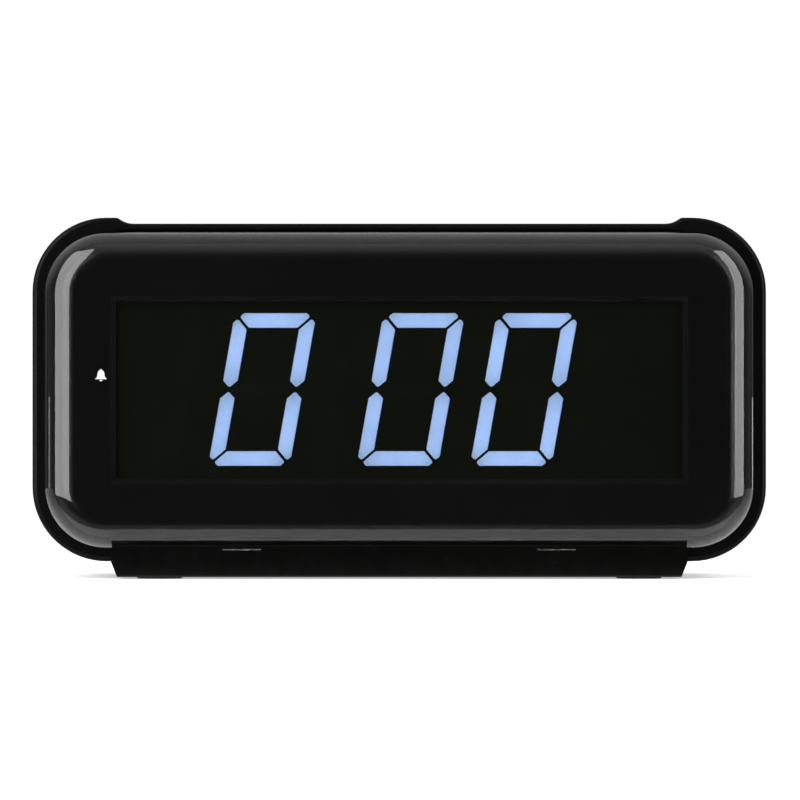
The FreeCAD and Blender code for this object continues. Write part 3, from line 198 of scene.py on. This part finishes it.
# The digits' sizes, in millimetres
DIGIT_MIDDLES = {"hours_digit": -27.35, "minutes_tens_digit": 2.29, "minutes_digit": 24.94}
DIGIT_LEVEL = 37.8
DIGIT_SLANT = math.tan(math.radians(10.0))
SIDE_BAR = 6.675  # from a digit's middle sideways to the middle of its side bars
TOP_BAR = 13.775  # from a digit's middle up to the middle of its top bar
SIDE_BAR_LEVEL = 7.6  # from a digit's middle up to half way along its upper side bars
BAR_HALF = 1.475  # half a bar's width
SIDE_BAR_REACH = 6.6  # from the middle of a side bar to its ends
TOP_BAR_REACH = 7.2  # from the middle of a top bar to its ends

SEGMENT_LIGHT = 8.6
BAR_MIDDLE_COLOUR = (0.384, 0.553, 0.985)
BAR_EDGE_COLOUR = (0.356, 0.498, 0.875)
BAR_END_COLOUR = (0.280, 0.412, 0.670)


def lit_diffuser(name, middle):
    """Milky diffuser lit from behind: brightest along the middle of each bar, dimmer to its ends and rim."""
    tree = material_tree(name)
    axes = tree.axes()
    up = tree.math("SUBTRACT", tree.math("MULTIPLY", axes["Z"], 1000.0), DIGIT_LEVEL)
    across = tree.math("SUBTRACT", tree.math("MULTIPLY", axes["X"], 1000.0), middle)
    across = tree.math("ABSOLUTE", tree.math("SUBTRACT", across, tree.math("MULTIPLY", up, DIGIT_SLANT)))
    up = tree.math("ABSOLUTE", up)
    from_side = tree.math("ABSOLUTE", tree.math("SUBTRACT", across, SIDE_BAR))
    from_top = tree.math("ABSOLUTE", tree.math("SUBTRACT", up, TOP_BAR))
    upright = tree.math("LESS_THAN", from_side, from_top)
    out = tree.math("DIVIDE", tree.math("MINIMUM", from_side, from_top), BAR_HALF)
    along_side = tree.math("ABSOLUTE", tree.math("SUBTRACT", up, SIDE_BAR_LEVEL))
    along_side = tree.math("DIVIDE", along_side, SIDE_BAR_REACH)
    along_top = tree.math("DIVIDE", across, TOP_BAR_REACH)
    along = tree.add("ShaderNodeMix", {0: upright, 2: along_top, 3: along_side}).outputs[0]
    near_end = tree.math("POWER", along, 3.0, clamp=True)
    near_edge = tree.math("POWER", out, 2.0, clamp=True)
    colour = tree.mix(near_edge, BAR_MIDDLE_COLOUR, BAR_EDGE_COLOUR)
    colour = tree.mix(near_end, colour, BAR_END_COLOUR)
    rim = tree.spread(out, 1.0, 0.35, 0.92, 1.0)
    patch = tree.math("MULTIPLY", tree.spread(tree.noise(110.0, 2.0), 0.88, 1.04), rim)
    speckle = tree.spread(tree.noise(1500.0, 3.0), 0.98, 1.02)
    strength = tree.math("MULTIPLY", tree.math("MULTIPLY", speckle, patch), SEGMENT_LIGHT)
    light = tree.add("ShaderNodeEmission", {"Color": colour, "Strength": strength})
    return tree.finish(light)


def circuit_board():
    """Green solder mask over tracks, with tinned pads."""
    tree = material_tree("circuit_board")
    flat = tree.stretched((1.0, 0.0, 1.0))
    tracks = tree.add(
        "ShaderNodeTexBrick",
        {
            "Vector": flat,
            "Scale": 160.0,
            "Mortar Size": 0.02,
            "Color1": (0.012, 0.10, 0.040, 1.0),
            "Color2": (0.010, 0.085, 0.034, 1.0),
            "Mortar": (0.03, 0.17, 0.06, 1.0),
        },
    )
    pads = tree.add("ShaderNodeTexVoronoi", {"Vector": flat, "Scale": 230.0, "Randomness": 0.3})
    is_pad = tree.math("LESS_THAN", pads.outputs["Distance"], 0.13)
    colour = tree.mix(is_pad, tracks.outputs["Color"], (0.62, 0.60, 0.55))
    height = tree.math("ADD", tracks.outputs["Fac"], is_pad)
    bsdf = tree.principled(
        Base_Color=colour,
        Metallic=tree.math("MULTIPLY", is_pad, 0.8),
        Roughness=tree.spread(tree.noise(500.0), 0.25, 0.4),
        Normal=tree.bump(height, 3e-5),
    )
    return tree.finish(bsdf)


def cell_sleeve(low, high):
    """Printed film on a dry cell: a dark body with a copper-coloured band and metal ends."""
    tree = material_tree("cell_sleeve")
    share = tree.spread(tree.axes()["X"], 0.0, 1.0, low, high)
    steel, dark, copper = (0.62, 0.60, 0.57), (0.012, 0.012, 0.014), (0.55, 0.24, 0.09)
    places = (0.0, 0.03, 0.30, 0.34, 0.66, 0.70, 0.97)
    colour = tree.ramp(share, list(zip(places, (steel, dark, copper, dark, copper, dark, steel))), "CONSTANT")
    bsdf = tree.principled(
        Base_Color=colour,
        Metallic=0.7,
        Roughness=tree.spread(tree.noise(700.0, 4.0), 0.22, 0.36),
        Normal=tree.bump(tree.noise(1800.0), 2e-6),
    )
    return tree.finish(bsdf)


def foam():
    tree = material_tree("black_foam")
    cells = tree.add("ShaderNodeTexVoronoi", {"Vector": tree.place, "Scale": 2600.0}).outputs["Distance"]
    colour = tree.ramp(cells, [(0.1, grey(0.004)), (0.7, grey(0.012))])
    bsdf = tree.principled(Base_Color=colour, Roughness=0.95, Normal=tree.bump(cells, 8e-5))
    return tree.finish(bsdf)


def print_ink():
    """Pad-printed white ink, a little uneven."""
    tree = material_tree("print_ink")
    patch = tree.noise(1900.0, 4.0, 0.6)
    colour = tree.ramp(patch, [(0.25, grey(0.74)), (0.6, (0.86, 0.86, 0.84))])
    bsdf = tree.principled(Base_Color=colour, Roughness=0.55, Normal=tree.bump(patch, 4e-6))
    return tree.finish(bsdf)


# Darkest and palest shade and range of roughness, then grain scale, bump depth and specular where they
# aren't the usual ones
PLASTICS = {
    "case_plastic": (grey(0.0020), grey(0.0031), (0.22, 0.28), 3200.0, 4e-6, 0.05),
    "rear_plastic": (grey(0.0034), grey(0.0046), (0.30, 0.38), 2400.0, 1.2e-5, 0.14),
    "foot_plastic": (grey(0.0009, 0.1), grey(0.0014, 0.1), (0.22, 0.28), 3200.0, 3e-6, 0.12),
    "snooze_plastic": (grey(0.0060), grey(0.0075), (0.38, 0.42), 2600.0, 9e-6, 0.3),
    "button_plastic": (grey(0.022), grey(0.028), (0.40, 0.50), 2800.0),
    "inlet_plastic": (grey(0.006), grey(0.009), (0.30, 0.40)),
    "switch_plastic": (grey(0.015), grey(0.022), (0.42, 0.52)),
    "bracket_plastic": (grey(0.03), grey(0.04), (0.45, 0.55)),
    "socket_plastic": ((0.72, 0.70, 0.62), (0.80, 0.78, 0.70), (0.42, 0.52)),
    "reflector_plastic": (grey(0.0045), grey(0.006), (0.55, 0.65)),
    "mask_plastic": (grey(0.0028), grey(0.0036), (0.20, 0.24), 2400.0, 3e-7, 0.09),
    "dark_diffuser": ((0.030, 0.032, 0.030), (0.036, 0.038, 0.036), (0.5, 0.6)),
    "led_resin": ((0.70, 0.66, 0.40), (0.80, 0.76, 0.50), (0.2, 0.3)),
    "chip_resin": (grey(0.012), grey(0.018), (0.5, 0.6), 4200.0, 1e-5),
    "ribbon_grey": (grey(0.30), grey(0.36), (0.45, 0.55)),
    "capacitor_sleeve": ((0.010, 0.012, 0.05), (0.014, 0.016, 0.07), (0.25, 0.35)),
    "black_wire": (grey(0.008), grey(0.012), (0.40, 0.50)),
    "red_wire": ((0.42, 0.012, 0.010), (0.52, 0.016, 0.012), (0.38, 0.48)),
    "foot_rubber": (grey(0.018), grey(0.028), (0.75, 0.88), 2200.0, 2e-5, 0.3),
}
# Bright and dull shade and range of roughness, then how far the marks are drawn out
METALS = {
    "plated_screws": ((0.60, 0.59, 0.56), (0.36, 0.35, 0.33), (0.25, 0.42)),
    "tinned_leads": ((0.70, 0.70, 0.68), (0.50, 0.50, 0.48), (0.25, 0.40)),
    "spring_steel": ((0.46, 0.45, 0.44), (0.25, 0.24, 0.23), (0.25, 0.38)),
    "contact_metal": ((0.74, 0.73, 0.70), (0.52, 0.50, 0.46), (0.20, 0.34)),
    "clip_metal": ((0.78, 0.78, 0.76), (0.60, 0.60, 0.58), (0.18, 0.30), (1.0, 8.0, 8.0)),
}
cells_low, cells_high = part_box("backup_cells")
FINISHES = {
    "clear_acrylic": clear_acrylic("clear_acrylic", 0.04, 1.0),
    "clear_acrylic_inside": clear_acrylic("clear_acrylic_inside", 0.003, 0.08),
    "tinted_filter": tinted_filter(),
    "black_foam": foam(),
    "circuit_board": circuit_board(),
    "cell_sleeve": cell_sleeve(cells_low.x, cells_high.x),
}
for finish, look in PLASTICS.items():
    FINISHES[finish] = moulded(finish, *look)
for finish, look in METALS.items():
    FINISHES[finish] = metal(finish, *look)
REAR_NODES = ("rear_cover", "battery_door")

for name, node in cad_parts.items():
    for slot in node.material_slots:
        if slot.material.name == "lit_diffuser":
            slot.material = lit_diffuser(name + "_glow", DIGIT_MIDDLES[name])
        elif name in REAR_NODES:
            slot.material = FINISHES["rear_plastic"]
        else:
            slot.material = FINISHES[slot.material.name.split(".")[0]]

# ---------------------------------------------------------------- mesh pieces


def add_piece(name, points, faces, material, body, slot_name, sharp=30.0):
    mesh = bpy.data.meshes.new(name)
    mesh.from_pydata(points, [], faces)
    mesh.validate()
    mesh.shade_smooth()
    mesh.set_sharp_from_angle(angle=math.radians(sharp))
    mesh.materials.append(material)
    piece = bpy.data.objects.new(name, mesh)
    bpy.context.scene.collection.objects.link(piece)
    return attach(piece, body)


CORNER_STEPS = 28


def round_box(half_x, half_z, corner, level, y):
    """A rounded rectangle's outline at depth y, anticlockwise as seen from the front."""
    points = []
    for turn, (side, rise) in enumerate(((1, 1), (-1, 1), (-1, -1), (1, -1))):
        for step in range(CORNER_STEPS + 1):
            angle = math.radians(90 * turn + 90 * step / CORNER_STEPS)
            x = side * (half_x - corner) + corner * math.cos(angle)
            z = rise * (half_z - corner) + corner * math.sin(angle)
            points.append((x, y, level + z))
    return points


def loft(rings):
    """Points and faces of a skin through rings of equal length, closed at both ends by flat faces."""
    count = len(rings[0])
    points = [point for ring in rings for point in ring]
    faces = [list(range(count))]
    for ring in range(len(rings) - 1):
        low, high = ring * count, (ring + 1) * count
        for step in range(count):
            after = (step + 1) % count
            faces.append([low + after, low + step, high + step, high + after])
    faces.append([(len(rings) - 1) * count + step for step in reversed(range(count))])
    return points, faces


OPENING = (71.0 * MM, 31.75 * MM, 12.4 * MM, 37.65 * MM)  # half width, half height, corner, level
LENS_GAP = 0.1 * MM
LENS_WALL = 2.0 * MM
LENS_ROUND = 6.0 * MM
LENS_FLANGE = 1.5 * MM
FLANGE_INSET = -0.3 * MM
LENS_STEPS = 24


def lens_profile():
    """Inset from the housing's opening and depth, from the inside of the dome round to its front."""
    low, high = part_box("front_lens")
    front, back = low.y, high.y
    inside = front + LENS_WALL
    round_in = LENS_ROUND - LENS_WALL
    flat = 0.5 * MM
    profile = [(LENS_GAP + LENS_WALL + round_in + flat, inside)]
    for step in range(LENS_STEPS + 1):
        angle = math.radians(90 - 90 * step / LENS_STEPS)
        inset = LENS_GAP + LENS_WALL + round_in * (1 - math.cos(angle))
        profile.append((inset, inside + round_in * (1 - math.sin(angle))))
    profile += [(LENS_GAP + LENS_WALL, back), (FLANGE_INSET, back)]
    profile += [(FLANGE_INSET, back - LENS_FLANGE), (LENS_GAP, back - LENS_FLANGE)]
    for step in range(LENS_STEPS + 1):
        angle = math.radians(90 * step / LENS_STEPS)
        inset = LENS_GAP + LENS_ROUND * (1 - math.cos(angle))
        profile.append((inset, front + LENS_ROUND * (1 - math.sin(angle))))
    profile.append((LENS_GAP + LENS_ROUND + flat, front))
    return profile


def make_lens():
    half_x, half_z, corner, level = OPENING
    rings = []
    for inset, depth in lens_profile():
        rings.append(round_box(half_x - inset, half_z - inset, corner - inset, level, depth))
    lens = add_piece("dome_lens", *loft(rings), FINISHES["clear_acrylic"], "case", "clear_acrylic")
    lens.data.materials.append(FINISHES["clear_acrylic_inside"])
    inside_faces = 1 + (LENS_STEPS + 2) * len(rings[0])  # the first ring's cap, then the inner skin
    for face in lens.data.polygons[:inside_faces]:
        face.material_index = 1
    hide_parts("front_lens")


make_lens()

COIL_TURNS = 5
COIL_STEPS = 24
COIL_SIDES = 10
COIL_WIRE = 0.225 * MM


def coil_spring(node):
    """A round wire coil that fills the node's box."""
    low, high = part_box(node)
    middle = (low + high) / 2
    radius = (high.x - low.x) / 2 - COIL_WIRE
    rise = high.z - low.z - 2 * COIL_WIRE
    climb = rise / (2 * math.pi * COIL_TURNS * radius)
    around = [-2 * math.pi * side / COIL_SIDES for side in range(COIL_SIDES)]
    rings = []
    for step in range(COIL_TURNS * COIL_STEPS + 1):
        angle = 2 * math.pi * step / COIL_STEPS
        level = low.z + COIL_WIRE + rise * step / (COIL_TURNS * COIL_STEPS)
        out = Vector((math.cos(angle), math.sin(angle), 0.0))
        heading = Vector((-math.sin(angle), math.cos(angle), climb)).normalized()
        across = heading.cross(out)
        centre = Vector((middle.x, middle.y, level)) + out * radius
        rings.append([centre + (out * math.cos(a) + across * math.sin(a)) * COIL_WIRE for a in around])
    piece = add_piece(node + "_coil", *loft(rings), FINISHES["spring_steel"], "case", "spring_steel", 60.0)
    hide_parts(node)
    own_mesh(piece)


coil_spring("snooze_spring_left")
coil_spring("snooze_spring_right")

# ---------------------------------------------------------------- printed marks


def arc_band(middle, outer, inner, start, end, steps=24):
    """A band between two arcs about middle, from start to end degrees."""
    u, v = middle
    angles = [math.radians(start + (end - start) * step / steps) for step in range(steps + 1)]
    outside = [(u + outer * math.cos(a), v + outer * math.sin(a)) for a in angles]
    inside = [(u + inner * math.cos(a), v + inner * math.sin(a)) for a in reversed(angles)]
    return outside + inside


def disc(middle, radius, steps=24):
    u, v = middle
    turns = [2 * math.pi * step / steps for step in range(steps)]
    return [(u + radius * math.cos(a), v + radius * math.sin(a)) for a in turns]


def bar(start, end, width):
    """A straight stroke from start to end."""
    run = Vector((end[0] - start[0], end[1] - start[1])).normalized() * width / 2
    side = Vector((-run.y, run.x))
    ends = (Vector(start) + side, Vector(start) - side, Vector(end) - side, Vector(end) + side)
    return [tuple(corner) for corner in ends]


def bell(size):
    """An alarm bell: knob, dome with a flared rim, and clapper."""
    dome_turns = [math.pi * step / 14 for step in range(15)]
    dome = [(math.cos(a) * 0.27, 0.16 + math.sin(a) * 0.30) for a in dome_turns]
    flare = [(-0.30, -0.05), (-0.36, -0.17), (-0.50, -0.28), (0.50, -0.28), (0.36, -0.17), (0.30, -0.05)]
    clapper_turns = [math.pi * step / 10 for step in range(11)]
    clapper = [(math.cos(a) * 0.13, -0.33 - math.sin(a) * 0.11) for a in clapper_turns]
    shapes = [dome + flare, clapper[::-1], disc((0.0, 0.47), 0.075, 12)]
    return [[(u * size, v * size) for u, v in shape] for shape in shapes]


INK_THICK = 0.02 * MM


def print_mark(name, shapes, x, z, surface, facing):
    """Thin raised ink shapes on a wall at depth surface. facing is -1 to the front and 1 to the back."""
    points, faces = [], []
    for shape in shapes:
        first = len(points)
        count = len(shape)
        for y in (surface, surface + facing * INK_THICK):
            points += [(x - facing * u * MM, y, z + v * MM) for u, v in shape]
        faces.append([first + step for step in range(count)])
        faces.append([first + count + step for step in reversed(range(count))])
        for step in range(count):
            after = (step + 1) % count
            faces.append([first + after, first + step, first + count + step, first + count + after])
    add_piece(name, points, faces, INK, "case", "case_plastic")


INK = print_ink()

# Marks are drawn in millimetres about their own middles, u to the reader's right and v up.
ALARM_MARK_X = -59.45 * MM
ALARM_MARK_LEVEL = 40.55 * MM
mask_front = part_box("bezel_mask")[0].y
print_mark("alarm_mark", bell(2.5), ALARM_MARK_X, ALARM_MARK_LEVEL, mask_front, -1)

PANEL = 26.0 * MM  # y of the sunk setting panel's face
MARK_DROP = 2.6 * MM  # between a control and the middle of its mark
RING = [arc_band((0, 0), 1.35, 1.08, 0, 180), arc_band((0, 0), 1.35, 1.08, 180, 360)]
CLOCK = RING + [bar((0, -0.12), (0, 0.85), 0.26), bar((-0.12, 0), (0.62, 0), 0.26)]


def chevron(u):
    """An arrow head that points to the reader's right."""
    upper = [(u - 0.5, 0.95), (u - 0.12, 0.95), (u + 0.5, 0.0)]
    lower = [(u - 0.12, -0.95), (u - 0.5, -0.95), (u + 0.12, 0.0)]
    return upper + lower


def sun(size):
    """A disc with eight rays, for brightness."""
    rays = []
    for step in range(8):
        a = math.radians(45 * step)
        near, far = [(reach * math.cos(a), reach * math.sin(a)) for reach in (0.66 * size, size)]
        rays.append(bar(near, far, 0.15 * size))
    return [disc((0, 0), 0.42 * size)] + rays


BUTTON_MARKS = {
    "time_button": CLOCK,
    "alarm_button": bell(2.6),
    "hour_button": [chevron(-0.45), chevron(0.45)],
    "minute_button": [chevron(0.0)],
}
for button, shapes in BUTTON_MARKS.items():
    low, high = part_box(button)
    print_mark(button + "_mark", shapes, (low.x + high.x) / 2, low.z - MARK_DROP, PANEL, 1)

SLIDE_TRAVEL = 4.0 * MM
SLIDE_MARK_ASIDE = 2.2 * MM  # from the middle of the knob's travel
silent = bell(2.1) + [bar((-1.15, -1.15), (1.15, 1.15), 0.24)]
SLIDE_MARKS = {"alarm_slide_knob": (silent, bell(2.1)), "dimmer_slide_knob": (sun(0.85), sun(1.3))}
for knob, (at_rest, moved) in SLIDE_MARKS.items():
    low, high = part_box(knob)
    middle = (low.x + high.x + SLIDE_TRAVEL) / 2
    level = high.z + MARK_DROP
    print_mark(knob + "_rest_mark", at_rest, middle - SLIDE_MARK_ASIDE, level, PANEL, 1)
    print_mark(knob + "_moved_mark", moved, middle + SLIDE_MARK_ASIDE, level, PANEL, 1)

inlet_low, inlet_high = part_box("power_inlet_pin")
plug = [  # minus, ring, pin and plus of a plug with a positive pin
    disc((0, 0), 0.42),
    arc_band((0, 0), 1.3, 1.02, 40, 320, 36),
    bar((0.3, 0), (2.6, 0), 0.26),
    bar((-1.1, 0), (-2.6, 0), 0.26),
    bar((3.0, 0), (4.3, 0), 0.26),
    bar((3.65, -0.65), (3.65, 0.65), 0.26),
    bar((-3.0, 0), (-4.3, 0), 0.26),
]
back_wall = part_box("rear_cover")[1].y
INLET_MARK_RISE = 6.6 * MM
inlet_mark_level = inlet_high.z + INLET_MARK_RISE
print_mark("inlet_mark", plug, (inlet_low.x + inlet_high.x) / 2, inlet_mark_level, back_wall, 1)

# ---------------------------------------------------------------- stage, light and camera


FLOOR_HALF = 0.5
FLOOR_FRONT = -0.038  # the camera sees only a line of floor below the foot
LIGHTS_AROUND = (0.0, -0.02)
LIGHT_DISTANCE = 0.6
BOX_LEVEL = 0.37
BOX_HEIGHT = 0.90
CARD_LEVEL = 0.018
CARD_HEIGHT = 0.036
CARD_WIDTH = 0.09
CAMERA_LENS = 337.5  # millimetres, on a sensor 36 mm wide
CAMERA_DISTANCE = 1.5  # from the front of the housing
CAMERA_ASIDE = 0.00015
CAMERA_LEVEL = 0.0357


def make_floor():
    """Pale paint to the camera. As the clock mirrors it, painted shade darkens it to both sides like a small
    table.
    """
    tree = material_tree("floor_paint")
    painted = tree.ramp(tree.noise(6.0, 3.0), [(0.3, grey(0.88)), (0.7, grey(0.90))])
    aside = tree.spread(tree.math("ABSOLUTE", tree.axes()["X"]), 0.0, 1.0, 0.0, 0.25)
    # painted shade: in reflections the floor turns darker to both sides, while camera rays see the pale paint
    reflected_painted_shade = tree.ramp(aside, [(0.30, grey(0.88)), (0.42, grey(0.45)), (0.70, grey(0.12))])
    seen = tree.add("ShaderNodeLightPath").outputs["Is Camera Ray"]
    paint = tree.principled(
        Base_Color=tree.mix(seen, reflected_painted_shade, painted),
        Roughness=0.6,
        Specular_IOR_Level=0.2,
        Emission_Color=grey(1.0),
        Emission_Strength=0.42,
    )
    near, far = FLOOR_FRONT, FLOOR_HALF
    corners = [(-FLOOR_HALF, near, 0), (FLOOR_HALF, near, 0), (FLOOR_HALF, far, 0), (-FLOOR_HALF, far, 0)]
    mesh = bpy.data.meshes.new("floor")
    mesh.from_pydata(corners, [], [(0, 1, 2, 3)])
    mesh.materials.append(tree.finish(paint))
    floor = bpy.data.objects.new("floor", mesh)
    bpy.context.scene.collection.objects.link(floor)


def make_world():
    """White to the camera. What the clock reflects is palest above, grey beside, dark in front and behind."""
    tree = Tree(bpy.data.worlds.new("studio"), "ShaderNodeOutputWorld", "Generated")
    axes = tree.axes()
    depth = tree.spread(axes["Y"], 0.0, 1.0, -1.0, 1.0)
    leant = tree.math("ADD", axes["Z"], tree.math("MULTIPLY", axes["Y"], 0.35))
    sides = [(0.0, 0.02), (0.06, 0.05), (0.5, 0.20), (0.70, 0.20), (0.80, 0.06), (1.0, 0.05)]
    overhead = [(0.2, 0.0), (0.32, 0.12), (0.46, 0.24), (0.66, 0.42), (0.90, 0.62), (1.0, 0.55)]
    parts = [
        tree.ramp(value, [(place, grey(level)) for place, level in stops])
        for value, stops in ((depth, sides), (leant, overhead))
    ]
    total = tree.add(
        "ShaderNodeMix", {0: 1.0, 6: parts[0], 7: parts[1]}, data_type="RGBA", blend_type="ADD"
    )
    around = tree.add("ShaderNodeBackground", {"Color": total.outputs[2], "Strength": 1.0})
    white = tree.add("ShaderNodeBackground", {"Color": (1.0, 1.0, 1.0, 1.0), "Strength": 1.05})
    seen = tree.add("ShaderNodeLightPath").outputs["Is Camera Ray"]
    bpy.context.scene.world = tree.finish(tree.mix_shaders(seen, around, white))


def softbox(name, azimuth, level, width, height, radiance):
    """A flat light that faces the clock. Azimuth is in degrees from the front, positive to the right."""
    data = bpy.data.lights.new(name, "AREA")
    data.shape = "RECTANGLE"
    data.size, data.size_y = width, height
    data.energy = radiance * math.pi * width * height
    x, y = LIGHTS_AROUND
    angle = math.radians(azimuth)
    place = Vector((x + LIGHT_DISTANCE * math.sin(angle), y - LIGHT_DISTANCE * math.cos(angle), level))
    lamp = bpy.data.objects.new(name, data)
    lamp.location = place
    lamp.rotation_euler = (Vector((x, y, level)) - place).to_track_quat("-Z", "Y").to_euler()
    lamp.visible_camera = False
    bpy.context.scene.collection.objects.link(lamp)


def make_camera():
    data = bpy.data.cameras.new("camera")
    data.sensor_width = 36.0
    data.lens = CAMERA_LENS
    data.clip_start, data.clip_end = 0.05, 20.0
    camera = bpy.data.objects.new("camera", data)
    camera.location = (CAMERA_ASIDE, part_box("housing_shell")[0].y - CAMERA_DISTANCE, CAMERA_LEVEL)
    camera.rotation_euler = (math.radians(90), 0, 0)
    bpy.context.scene.collection.objects.link(camera)
    bpy.context.scene.camera = camera


make_floor()
make_world()
softbox("left_box", azimuth=-51, level=BOX_LEVEL, width=0.62, height=BOX_HEIGHT, radiance=5.9)
softbox("right_box", azimuth=62, level=BOX_LEVEL, width=0.39, height=BOX_HEIGHT, radiance=5.6)
softbox("left_card", azimuth=-108, level=CARD_LEVEL, width=CARD_WIDTH, height=CARD_HEIGHT, radiance=1.4)
softbox("right_card", azimuth=134, level=CARD_LEVEL, width=CARD_WIDTH, height=CARD_HEIGHT, radiance=1.3)
make_camera()
bpy.context.scene.view_settings.view_transform = "Standard"
